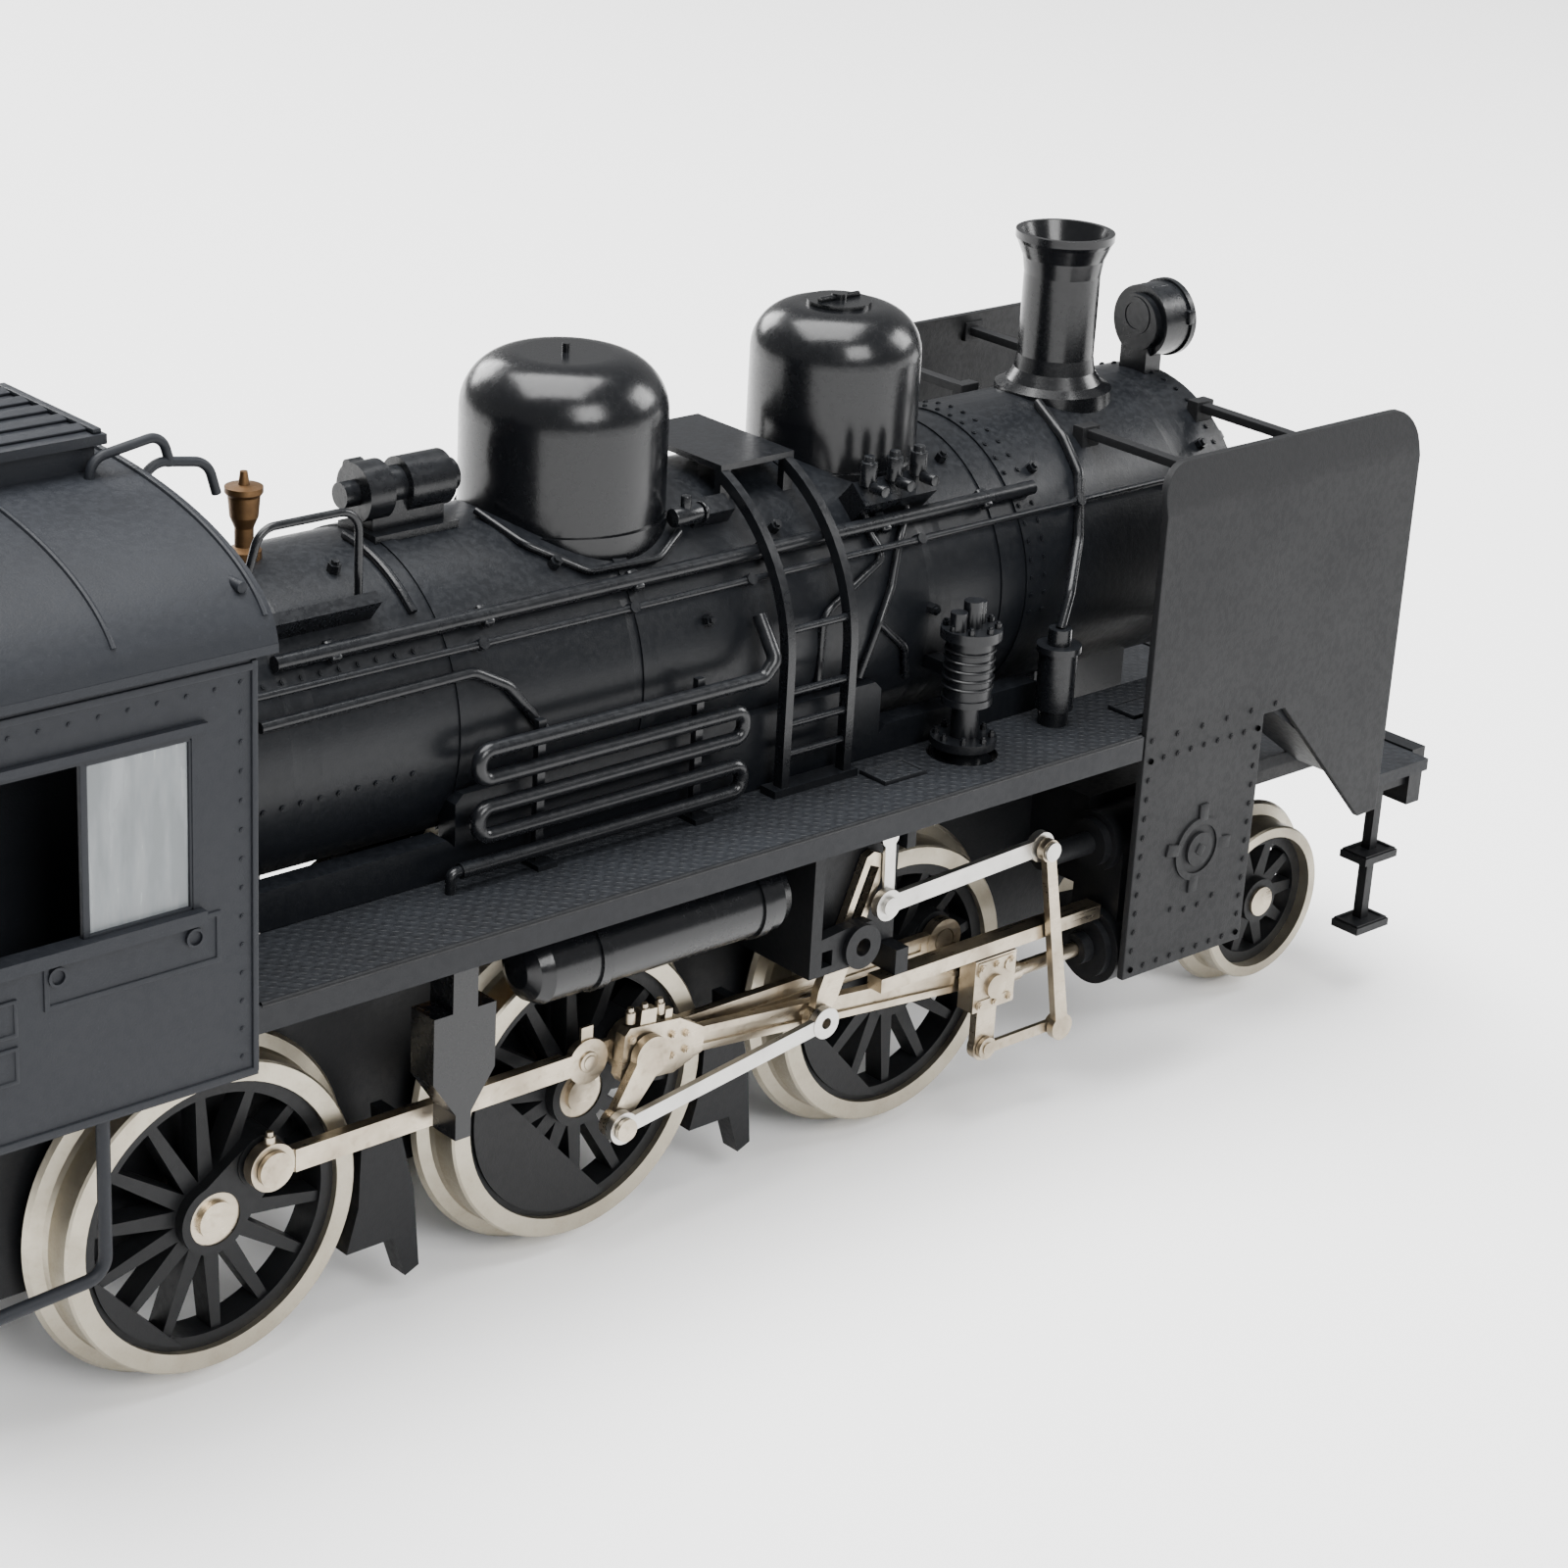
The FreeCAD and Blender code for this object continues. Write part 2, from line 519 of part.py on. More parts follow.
FRAME_LOW = "driver_r - axle_r - fit"
DRAWBAR_X = "frame_back + 2.5"
DRAWBAR_TOP = "12 - air"
chassis = new_body("chassis_body")
pad(chassis, polygon(sketch(chassis, "XZ_Plane"), ("frame_back", "12"), ("-14", "12"), ("-12", FRAME_LOW),
                     (f"{TRUCK_PIVOT_X} + 2.5", FRAME_LOW), (f"{TRUCK_PIVOT_X} + 6.5", "front_frame_low"),
                     ("deck_front - 1.4", "front_frame_low"), ("deck_front - 1.4", "deck_top - board_thick"),
                     ("cyl_front + 6", "deck_top - board_thick"), ("cyl_front + 5", "frame_top"),
                     ("frame_back", "frame_top")), "2 * frame_half", both=True)
for side in (RIGHT, LEFT):
    side_pad(chassis, side, "well_half", "tower_half", polygon, ("main_x - 8", "frame_top - 3"),
             ("main_x + tower_half + 5", "frame_top - 3"), ("main_x + tower_half + 5", f"{MOTOR_Z} + 1.6"),
             ("main_x + tower_half + 3.4", f"{MOTOR_Z} + 1.6"),
             ("main_x + tower_half + 3.4", f"{MOTOR_Z} - 2.8"),
             ("main_x - 6.6", f"{IDLER_Z} + 1.8"), ("main_x - 8", f"{IDLER_Z} + 0.5"))
end_plate = sketch(chassis, "YZ_Plane", "main_x + tower_half + 3.4")
pad(chassis, rectangle(end_plate, ("-tower_half", "tower_half"), (f"{MOTOR_Z} - 5", f"{MOTOR_Z} + 1.6")),
    "1.6")
bearing = sketch(chassis, "YZ_Plane", "main_x + tower_half + 3")
pocket(chassis, circle(bearing, "0", MOTOR_Z, "shaft_r + fit"), "3", reverse=True)
well = sketch(chassis, "XY_Plane", f"{FRAME_LOW} - 1")
pocket(chassis, rectangle(well, (f"main_x - {GEAR_R} - 1.2", f"main_x + {GEAR_R} + 1.2"),
                          ("-well_half", "well_half")),
       "frame_top", reverse=True)
for station in WHEELBASE_STATIONS.values():
    slot = sketch(chassis, "XZ_Plane")
    rectangle(slot, (f"{station} - axle_r - fit", f"{station} + axle_r + fit"),
              (f"{FRAME_LOW} - 1", "driver_r"))
    pocket(chassis, slot, "3 * frame_half", both=True)
    crown = sketch(chassis, "XZ_Plane")
    circle(crown, station, "driver_r", "axle_r + fit")
    pocket(chassis, crown, "3 * frame_half", both=True)
pivot = sketch(chassis, "XZ_Plane")
circle(pivot, "main_x", IDLER_Z, "shaft_r + fit")
pocket(chassis, pivot, "3 * frame_half", both=True)
for back in ("motor_back + 1", "motor_front - 3"):
    cradle = sketch(chassis, "XY_Plane", "frame_top - 1")
    pad(chassis, rectangle(cradle, (back, f"{back} + 2"), ("-5", "5")),
        f"{MOTOR_Z} - motor_half - frame_top + 1")
for low in ("5", "33", "52"):
    opening = sketch(chassis, "XY_Plane", f"{FRAME_LOW} - 1")
    rectangle(opening, (low, f"{low} + 9"), ("-4.2", "4.2"))
    pocket(chassis, opening, "frame_top", reverse=True)
node("chassis_frame", chassis)

keeper = new_body("keeper_body")
keeper_low = f"{FRAME_LOW} - keeper_thick"
plan = sketch(keeper, "XY_Plane", keeper_low)
pad(keeper, rectangle(plan, ("-11.5", f"{TRUCK_PIVOT_X} + 2.4"), ("-frame_half", "frame_half")),
    "keeper_thick")
for station in ("0", "main_x"):
    beam = sketch(keeper, "XY_Plane", keeper_low)
    pad(keeper, rectangle(beam, (f"{station} + 11.4", f"{station} + 12.5"), ("-9.6", "9.6")), "keeper_thick")
    for side in (RIGHT, LEFT):
        side_pad(keeper, side, "8.3", "9.6", polygon, (f"{station} + 10.9", "driver_r + 2.6"),
                 (f"{station} + 11.6", "driver_r + 2.6"), (f"{station} + 12.9", keeper_low),
                 (f"{station} + 13.3", "1.3"), (f"{station} + 12.4", "0.9"), (f"{station} + 11.4", "4"))
        side_pad(keeper, side, "8.3", "9.7", polygon, (f"{station} + 9.35", "driver_r + 0.9"),
                 (f"{station} + 11.3", "driver_r + 1.6"), (f"{station} + 11.9", "driver_r - 5.2"),
                 (f"{station} + 8.45", "driver_r - 5.2"), (f"{station} + 9.2", "driver_r - 2.6"))
gear_gap = sketch(keeper, "XY_Plane", f"{keeper_low} - 1")
pocket(keeper, rectangle(gear_gap, (f"main_x - {GEAR_R} - 1", f"main_x + {GEAR_R} + 1"),
                         ("-well_half", "well_half")),
       "4", reverse=True)
for spot in ("-8", "16", "40", TRUCK_PIVOT_X):
    hole = sketch(keeper, "XY_Plane", f"{keeper_low} - 1")
    pocket(keeper, circle(hole, spot, "0", "1" if spot == TRUCK_PIVOT_X else "0.8"), "4", reverse=True)
node("keeper_plate", keeper)

screws = []
for index, spot in enumerate(("-8", "16", "40")):
    head = rod_z(f"screw_head_{index}", "1.5", spot, "0", (f"{keeper_low} - 0.7", keeper_low))
    shank = rod_z(f"screw_shank_{index}", "0.8", spot, "0", (keeper_low, FRAME_LOW))
    kerf = box(f"screw_kerf_{index}", (f"{spot} - 1.6", f"{spot} + 1.6"), ("-0.15", "0.15"),
               (f"{keeper_low} - 1", f"{keeper_low} - 0.4"))
    screws.append(cut(f"screw_{index}", fuse(f"screw_body_{index}", head, shank), kerf))
pivot_low = f"{ARM_TOP} - 1.1 - air"
pivot_head = rod_z("pivot_head", "1.9", TRUCK_PIVOT_X, "0", (f"{pivot_low} - 0.7", pivot_low))
pivot_shank = rod_z("pivot_shank", "1", TRUCK_PIVOT_X, "0", (pivot_low, FRAME_LOW))
screws.append(fuse("pivot_screw", pivot_head, pivot_shank))
drawbar_low = f"{DRAWBAR_TOP} - 1.3"
screws.append(fuse("drawbar_screw", rod_z("drawbar_screw_head", "1.1", DRAWBAR_X, "0",
                                          (f"{drawbar_low} - 0.75", f"{drawbar_low} - 0.15")),
                   rod_z("drawbar_screw_shank", "0.6", DRAWBAR_X, "0", (f"{drawbar_low} - 0.15", "12"))))
node("frame_screws", group("frame_screw_set", *screws))

# ---------------------------------------------------------------- rods

TAG = {RIGHT: "right", LEFT: "left"}


def polar_point(radius, degrees):
    """X and Z of a point around an axle."""
    return radius * math.cos(math.radians(degrees)), radius * math.sin(math.radians(degrees))


def on_line(piece, side, start, slope):
    """Put a rod drawn along X from its own origin at a start point, raised by a slope in degrees."""
    piece.Placement = FreeCAD.Placement(V(start[0], 0, start[1]), FreeCAD.Rotation(V(0, -1, 0), slope))
    return piece


def link_rod(name, side, layer, ends, high, eyes, bores, flute=True):
    """Fluted rod along X between two eyes, in a layer given by its inner face and thickness."""
    inner, thick = layer
    outer = f"{inner} + {thick}"
    body = new_body(name)
    side_pad(body, side, f"{inner} + ({thick}) * 0.1", f"{outer} - ({thick}) * 0.1", rectangle, ends,
             (f"-({high}) / 2", f"({high}) / 2"))
    for spot, eye in zip(ends, eyes):
        side_pad(body, side, inner, outer, circle, spot, "0", eye)
    if flute:
        side_pocket(body, side, outer, f"({thick}) * 0.32", rectangle,
                    (f"({ends[0]}) + ({eyes[0]}) + 0.5", f"({ends[1]}) - ({eyes[1]}) - 0.5"),
                    (f"-({high}) * 0.22", f"({high}) * 0.22"))
    for spot, bore in zip(ends, bores):
        if bore is not None:
            side_pocket(body, side, f"{outer} + 1", f"({thick}) + 2", circle, spot, "0", bore)
    return body


RUN_PIN = "pin_r + fit"
for side in (RIGHT, LEFT):
    tag = TAG[side]
    pin_x, pin_z = polar_point(num("crank_r"), CRANK[side])
    rod_z_now = num("driver_r") + pin_z

    # Coupling rods: the rear one hangs on a knuckle pin behind the main crank pin.
    tongue = new_body(f"front_rod_{tag}")
    knuckle, reach = "-knuckle_back", "front_x - main_x"
    half, outer = "rod_high / 2", "coupling_in + coupling_thick"
    side_pad(tongue, side, "coupling_in + 0.07", f"{outer} - 0.07", rectangle, ("0", reach),
             (f"-{half}", half))
    for spot, eye in (("0", "eye_r + 0.25"), (reach, "eye_r")):
        side_pad(tongue, side, "coupling_in", outer, circle, spot, "0", eye)
    side_pad(tongue, side, "coupling_in", "coupling_in + coupling_thick / 2 - 0.03", rectangle,
             (knuckle, "0"),
             (f"-{half}", half))
    side_pad(tongue, side, "coupling_in", "coupling_in + coupling_thick / 2 - 0.03", circle, knuckle, "0",
             "eye_r * 0.8")
    side_pocket(tongue, side, outer, "coupling_thick * 0.3", rectangle,
                ("eye_r + 0.9", f"{reach} - eye_r - 0.5"),
                ("-rod_high * 0.22", "rod_high * 0.22"))
    for spot, bore in (("0", RUN_PIN), (reach, RUN_PIN), (knuckle, "0.4 + fit")):
        side_pocket(tongue, side, f"{outer} + 1", "coupling_thick + 2", circle, spot, "0", bore)
    rear = new_body(f"rear_rod_{tag}")
    rear_long = "main_x - knuckle_back"
    side_pad(rear, side, "coupling_in + 0.07", f"{outer} - 0.07", rectangle,
             ("0", f"{rear_long} - eye_r - 0.2"),
             (f"-{half}", half))
    side_pad(rear, side, "coupling_in + coupling_thick / 2 + 0.03", f"{outer} + 0.05", rectangle,
             ("eye_r", rear_long), (f"-{half}", half))
    side_pad(rear, side, "coupling_in", outer, circle, "0", "0", "eye_r")
    side_pad(rear, side, "coupling_in + coupling_thick / 2 + 0.03", f"{outer} + 0.05", circle, rear_long,
             "0", "eye_r")
    side_pad(rear, side, "coupling_in + 0.05", f"{outer} - 0.1", circle, rear_long, "0", "0.4")
    side_pad(rear, side, "coupling_in + 0.45", f"{outer} - 0.07", rectangle,
             (f"{rear_long} - 0.45", f"{rear_long} + 0.35"), ("eye_r * 0.7", "eye_r + 0.75"))
    side_pocket(rear, side, outer, "coupling_thick * 0.3", rectangle,
                ("eye_r + 0.5", f"{rear_long} - eye_r - 0.6"),
                ("-rod_high * 0.22", "rod_high * 0.22"))
    side_pocket(rear, side, f"{outer} + 1", "coupling_thick + 2", circle, "0", "0", RUN_PIN)
    on_line(rear, side, (pin_x, rod_z_now), 0)
    on_line(tongue, side, (num("main_x") + pin_x, rod_z_now), 0)
    node(f"coupling_rods_{tag}", group(f"coupling_set_{tag}", rear, tongue))

    # Main rod, from the main crank pin to the crosshead on the cylinder's line.
    slope = -math.degrees(math.asin(pin_z / num("main_long")))
    main_rod = link_rod(f"main_rod_body_{tag}", side, ("main_in", "main_thick"), ("0", "main_long"),
                        "rod_high * 1.15",
                        ("big_end / 2 - 0.1", "eye_r"), (None, None))
    big = "big_end / 2"
    side_pad(main_rod, side, "main_in", "main_in + main_thick", polygon, (f"-{big} + 0.3", f"-{big}"),
             (f"{big} + 0.6", f"-{big}"), (f"{big} + 2.6", "-rod_high * 0.55"),
             (f"{big} + 2.6", "rod_high * 0.55"),
             (f"{big} + 0.6", big), (f"-{big} + 0.3", big), (f"-{big}", f"{big} - 0.4"),
             (f"-{big}", f"-{big} + 0.4"))
    side_pad(main_rod, side, "main_in + 0.1", "main_in + main_thick - 0.1", rectangle, ("-0.55", "0.55"),
             (f"{big} - 0.2", f"{big} + 0.9"))
    side_pad(main_rod, side, "main_in + 0.2", "main_in + main_thick - 0.2", rectangle, ("1.3", "1.8"),
             (f"{big} - 0.2", f"{big} + 0.6"))
    side_pocket(main_rod, side, "main_in + main_thick + 1", "main_thick + 2", circle, "0", "0", RUN_PIN)
    side_pocket(main_rod, side, "main_in + main_thick + 1", "main_thick + 2", circle, "main_long", "0", "0.5")
    on_line(main_rod, side, (num("main_x") + pin_x, rod_z_now), slope)
    node(f"main_rod_{tag}", group(f"main_rod_set_{tag}", main_rod))
    crosshead_x = num("main_x") + pin_x + num("main_long") * math.cos(math.radians(slope))

    # Eccentric rod, from the return crank's pin to the foot of the expansion link.
    start = polar_point(num("return_r"), CRANK[side] - num("return_lag"))
    start = (num("main_x") + start[0], num("driver_r") + start[1])
    gap_x, gap_z = num("link_x") - start[0], num("link_z") - start[1]
    gap = math.hypot(gap_x, gap_z)
    foot_r, long = num("link_foot"), num("ecc_long")
    lift = math.acos((gap ** 2 + long ** 2 - foot_r ** 2) / (2 * gap * long))
    slope = math.degrees(math.atan2(gap_z, gap_x) - lift)
    foot = (start[0] + long * math.cos(math.radians(slope)), start[1] + long * math.sin(math.radians(slope)))
    ecc = link_rod(f"ecc_rod_body_{tag}", side, ("ecc_in", "ecc_thick"), ("0", "ecc_long"), "rod_high * 0.72",
                   ("0.95", "0.95"), ("return_pin_r + fit", "0.35"), flute=False)
    on_line(ecc, side, start, slope)
    node(f"eccentric_rod_{tag}", group(f"ecc_set_{tag}", ecc))

    # Expansion link: slotted, swinging on its trunnion, drawn hanging straight down from it.
    lean = math.degrees(math.atan2(foot[0] - num("link_x"), num("link_z") - foot[1]))
    link = new_body(f"link_body_{tag}")
    layer = ("link_in", "link_in + link_thick")
    side_pad(link, side, *layer, polygon, ("-0.85", "-3.4"), ("-0.5", "-link_foot"), ("0.5", "-link_foot"),
             ("0.85", "-3.4"), ("0.85", "link_top - 0.4"), ("0.45", "link_top"), ("-0.45", "link_top"),
             ("-0.85", "link_top - 0.4"))
    side_pad(link, side, *layer, circle, "0", "-link_foot", "0.85")
    side_pocket(link, side, "link_in + link_thick + 1", "link_thick + 2", rectangle, ("-0.38", "0.38"),
                ("1.1", "link_top - 0.8"))
    side_pad(link, side, "link_in - 0.45", "link_in + link_thick + 0.45", circle, "0", "0", "0.5")
    side_pocket(link, side, "link_in + link_thick + 1", "link_thick + 1.6", circle, "0", "-link_foot", "0.35")
    on_line(link, side, (num("link_x"), num("link_z")), lean)
    node(f"expansion_link_{tag}", group(f"link_set_{tag}", link))

    # Crosshead with its piston rod, drop arm and union link.
    y_head = across(side, "cyl_y - crosshead_half + 0.15", "cyl_y + crosshead_half + 0.15")
    x0, z0 = f"{crosshead_x:.6f}", "driver_r"
    block = box(f"crosshead_block_{tag}", (f"{x0} - crosshead_long / 2", f"{x0} + crosshead_long / 2"),
                y_head,
                (f"{z0} - crosshead_high / 2 + 0.5", f"{z0} + crosshead_high / 2"))
    boss = rod_x(f"crosshead_boss_{tag}", "0.62",
                 (f"{x0} + crosshead_long / 2 - 0.2", f"{x0} + crosshead_long / 2 + 0.9"),
                 f"{side} * cyl_y", z0)
    stem = rod_x(f"piston_rod_{tag}", "piston_rod_r",
                 (x0, f"{x0} + cyl_back + 1 - (main_x + main_long - crank_r)"), f"{side} * cyl_y", z0)
    pin = rod_y(f"crosshead_pin_{tag}", "0.75", x0, across(side, "cyl_y + crosshead_half",
                "cyl_y + crosshead_half + 0.4"), z0)
    arm = box(f"drop_arm_{tag}", (f"{x0} - 0.9", f"{x0} + 0.7"), across(side, "cyl_y - 0.1", "cyl_y + 0.45"),
              (f"{z0} - arm_drop", z0))
    toe = rod_y(f"drop_toe_{tag}", "0.9", f"{x0} - 0.1", across(side, "cyl_y - 0.1", "cyl_y + 0.45"),
                f"{z0} - arm_drop")
    toe_pin = rod_y(f"toe_pin_{tag}", "0.4", f"{x0} - 0.1", across(side, "cyl_y + 0.3", "lever_in - 0.02"),
                    f"{z0} - arm_drop")
    bar = box(f"union_bar_{tag}", (f"{x0} - 0.1", f"{x0} - 0.1 + union_long"),
              across(side, "cyl_y + 0.5", "lever_in - 0.1"),
              (f"{z0} - arm_drop - 0.35", f"{z0} - arm_drop + 0.35"))
    bar_eyes = [rod_y(f"union_eye_{i}_{tag}", "0.7", f"{x0} - 0.1 + {i} * union_long",
                across(side, "cyl_y + 0.5", "lever_in - 0.1"), f"{z0} - arm_drop") for i in (0, 1)]
    y_lug = across(side, "cyl_y + crosshead_half", "cyl_y + crosshead_half + 0.32")
    lugs = [rod_y(f"crosshead_lug_{i}_{tag}", "0.42", f"{x0} + {dx}", y_lug, f"{z0} + 1.2")
            for i, dx in enumerate((-1.1, 1.1))]
    node(f"crosshead_{tag}", fuse(f"crosshead_set_{tag}", block, boss, stem, pin, arm, toe, toe_pin, bar,
                                  *bar_eyes, *lugs))

    # Combination lever, hung from the radius rod's front pin and driven at its foot by the union link.
    low_x = crosshead_x - 0.1 + num("union_long")
    drop = num("lever_top_z") - num("lever_low_z")
    lever_slope = math.degrees(math.atan2(low_x - num("lever_top_x"), drop))
    lever_long = math.hypot(drop, low_x - num("lever_top_x"))
    lever = new_body(f"lever_body_{tag}")
    thick = ("lever_in", "lever_in + 0.5")
    side_pad(lever, side, *thick, polygon, ("-0.5", f"-{lever_long:.4f}"), ("0.5", f"-{lever_long:.4f}"),
             ("0.38", "0"), ("-0.38", "0"))
    side_pad(lever, side, *thick, circle, "0", f"-{lever_long:.4f}", "0.85")
    side_pad(lever, side, *thick, circle, "0", "0", "0.7")
    side_pocket(lever, side, "lever_in + 1.5", "2.5", circle, "0", "0", "0.35 + fit")
    on_line(lever, side, (num("lever_top_x"), num("lever_top_z")), lever_slope)
    node(f"combination_lever_{tag}", group(f"lever_set_{tag}", lever))

    # Radius rod with the lifting link that hangs it from the reach arm.
    radius = link_rod(f"radius_body_{tag}", side, ("radius_in", "radius_thick"), ("-radius_long", "0"),
                      "rod_high * 0.85", ("0.95", "0.95"), (None, None), flute=False)
    side_pad(radius, side, "radius_in + 0.1", "lever_in + 0.75", circle, "0", "0", "0.35")
    side_pad(radius, side, "lever_in + 0.55", "lever_in + 0.75", circle, "0", "0", "0.6")
    side_pad(radius, side, "radius_in + 0.1", "radius_in + radius_thick + 0.25", circle, "-radius_long", "0",
             "0.55")
    side_pad(radius, side, "radius_in - 0.12", "radius_in + 0.1", rectangle,
             ("-radius_long - 0.05", "-radius_long + 0.75"),
             ("0", "4.1"))
    side_pad(radius, side, "radius_in - 0.12", "radius_in + 0.1", circle, "-radius_long + 0.35", "4.1",
             "0.65")
    on_line(radius, side, (num("lever_top_x"), num("lever_top_z")), 2.5)
    node(f"radius_rod_{tag}", group(f"radius_set_{tag}", radius))

# Return cranks, pressed on the ends of the main crank pins.
cranks = []
for side in (RIGHT, LEFT):
    crank = new_body(f"return_crank_{TAG[side]}")
    tip_x, tip_z = polar_point(num("return_r"), -num("return_lag"))
    back = math.hypot(tip_x - num("crank_r"), tip_z)
    lean = math.degrees(math.atan2(tip_z, tip_x - num("crank_r")))
    layer = ("return_in", "return_in + return_thick")
    side_pad(crank, side, *layer, polygon, ("0", "-0.95"), (f"{back:.4f}", "-0.6"), (f"{back:.4f}", "0.6"),
             ("0", "0.95"))
    side_pad(crank, side, *layer, circle, "0", "0", "1.2")
    side_pad(crank, side, *layer, circle, f"{back:.4f}", "0", "0.85")
    side_pad(crank, side, "return_in + 0.2", "ecc_in + ecc_thick + fit", circle, f"{back:.4f}", "0",
             "return_pin_r")
    side_pad(crank, side, "ecc_in + ecc_thick + fit", "ecc_in + ecc_thick + 0.3", circle, f"{back:.4f}", "0",
             "return_pin_r + 0.25")
    side_pocket(crank, side, "return_in + return_thick + 1", "return_thick + 2", circle, "0", "0", "pin_r")
    local = FreeCAD.Placement(V(num("crank_r"), 0, 0), FreeCAD.Rotation(V(0, -1, 0), lean))
    turned = FreeCAD.Placement(V(num("main_x"), 0, num("driver_r")),
                               FreeCAD.Rotation(V(0, -1, 0), CRANK[side]))
    crank.Placement = turned.multiply(local)
    cranks.append(crank)
node("return_cranks", group("return_crank_pair", *cranks))

# ---------------------------------------------------------------- cylinders, slide bars and motion brackets

cylinder_parts, cylinder_bores, bars = [], [], []
for side in (RIGHT, LEFT):
    tag, axis_y = TAG[side], f"{side} * cyl_y"
    cylinder_parts += [
        rod_x(f"cylinder_{tag}", "cyl_r", ("cyl_back", "cyl_front"), axis_y, "driver_r"),
        rod_x(f"back_cover_{tag}", "cyl_r - 0.5", ("cyl_back - 0.5", "cyl_back"), axis_y, "driver_r"),
        rod_x(f"gland_{tag}", "1", ("cyl_back - 1.3", "cyl_back"), axis_y, "driver_r"),
        rod_x(f"front_cover_{tag}", "cyl_r - 0.5", ("cyl_front", "cyl_front + 0.5"), axis_y, "driver_r"),
        rod_x(f"chest_{tag}", "chest_r", ("cyl_back", "cyl_front"), f"{side} * (cyl_y - 0.3)", "chest_z"),
        rod_x(f"chest_cover_{tag}", "chest_r - 0.4", ("cyl_back - 0.6", "cyl_front + 0.6"),
              f"{side} * (cyl_y - 0.3)", "chest_z"),
        rod_x(f"valve_guide_{tag}", "0.7", ("lever_top_x + 0.8", "cyl_back"), f"{side} * (cyl_y - 0.3)",
              "chest_z"),
        box(f"neck_{tag}", ("cyl_back + 0.6", "cyl_front - 0.6"), across(side, "cyl_y - 2.2", "cyl_y + 1.6"),
            ("driver_r", "chest_z")),
    ]
    cylinder_bores.append(rod_x(f"rod_bore_{tag}", "piston_rod_r + fit", ("cyl_back - 2", "cyl_front - 0.6"),
                                axis_y, "driver_r"))
    bar_y = across(side, "cyl_y - 0.45", "cyl_y + 0.75")
    bar_low = "driver_r + crosshead_high / 2 + 0.1"
    bars.append(box(f"slide_bar_{tag}", ("bar_back", "cyl_back"), bar_y, (bar_low, f"{bar_low} + bar_thick")))
saddle = box("saddle", ("cyl_back + 0.6", "cyl_front - 0.6"), ("-(cyl_y - 2)", "cyl_y - 2"),
             ("frame_top", "frame_top + 1.4"))
webs = [box(f"web_{TAG[side]}", ("cyl_back + 0.6", "cyl_front - 0.6"),
            across(side, "frame_half", "cyl_y - 1.5"),
            ("front_frame_low", "frame_top + 1.4")) for side in (RIGHT, LEFT)]
node("cylinder_block", cut("cylinder_cut", fuse("cylinder_solid", saddle, *webs, *cylinder_parts),
                           *cylinder_bores))
node("slide_bars", group("slide_bar_pair", *bars))

brackets = []
for side in (RIGHT, LEFT):
    tag = TAG[side]
    bracket = new_body(f"motion_bracket_{tag}")
    bar_top = "driver_r + crosshead_high / 2 + 0.1 + bar_thick"
    inner_y = ("link_in - 0.7", "link_in - 0.1")
    outer_y = ("link_in + link_thick + 0.15", "link_in + link_thick + 0.95")
    # Inner cheek, from the frame stay down to the trunnion.
    side_pad(bracket, side, *inner_y, polygon, ("link_x - 3.8", "13.4"), ("link_x + 4.2", "13.4"),
             ("link_x + 4.2", "valance_low"), ("link_x - 3.8", "valance_low"))
    # Stay under the running board and the outer cheek in front of and below the trunnion.
    side_pad(bracket, side, "frame_half", "link_in - 0.1", rectangle, ("link_x - 3.8", "link_x - 3"),
             ("13.4", "valance_low"))
    side_pad(bracket, side, "link_in - 0.7", outer_y[1], rectangle, ("link_x - 3.8", "link_x - 3"),
             ("13.4", "valance_low"))
    side_pad(bracket, side, *outer_y, polygon, ("link_x - 3.8", "13.4"), ("link_x + 0.9", "13.4"),
             ("link_x + 1.4", "link_z"), ("link_x + 0.9", "link_z + 1.3"), ("link_x - 1.2", "link_z + 1.3"),
             ("link_x - 3.8", "15.6"))
    side_pad(bracket, side, outer_y[0], f"{outer_y[1]} + 0.35", circle, "link_x", "link_z", "1.35")
    side_pocket(bracket, side, f"{outer_y[1]} + 1", "3", circle, "link_x", "link_z", "0.5 + fit")
    side_pocket(bracket, side, "link_in", "0.8", circle, "link_x", "link_z", "0.5 + fit")
    side_pocket(bracket, side, f"{outer_y[1]} + 1", "1.9", rectangle, ("link_x - 2.9", "link_x - 2.1"),
                ("13.9", "14.9"))
    # Foot carrying the slide bar's rear end.
    side_pad(bracket, side, "link_in - 0.7", "cyl_y + 0.75", rectangle, ("bar_back + 1", "link_x + 4.2"),
             (bar_top, f"{bar_top} + 1.6"))
    # Arm of the reversing shaft.
    side_pad(bracket, side, "link_in - 0.7", "radius_in + 0.1", rectangle, ("link_x + 3.9", "link_x + 4.6"),
             ("19.4", "valance_low"))
    brackets.append(bracket)
node("motion_brackets", group("motion_bracket_pair", *brackets))

# ---------------------------------------------------------------- boiler and its fittings

BOILER_CORE = rod_x("boiler_core", "boiler_r + 0.001", ("cab_front - 2", "smokebox_x"), "0", "boiler_z")
SMOKEBOX_CORE = rod_x("smokebox_core", "boiler_r + 0.121", ("smokebox_x", "smokebox_front + 0.6"), "0",
                      "boiler_z")
BANDS = ("16.4", "28.7", "43.6", "55.9")
BAND_CORES = [rod_x(f"band_core_{i}", "boiler_r + 0.101", (f"{band} - 0.451", f"{band} + 0.451"), "0",
                    "boiler_z")
              for i, band in enumerate(BANDS)]


def on_boiler(name, piece):
    """Piece trimmed to sit on the boiler, its bands and the smokebox."""
    return cut(name, piece, BOILER_CORE, SMOKEBOX_CORE, *BAND_CORES)


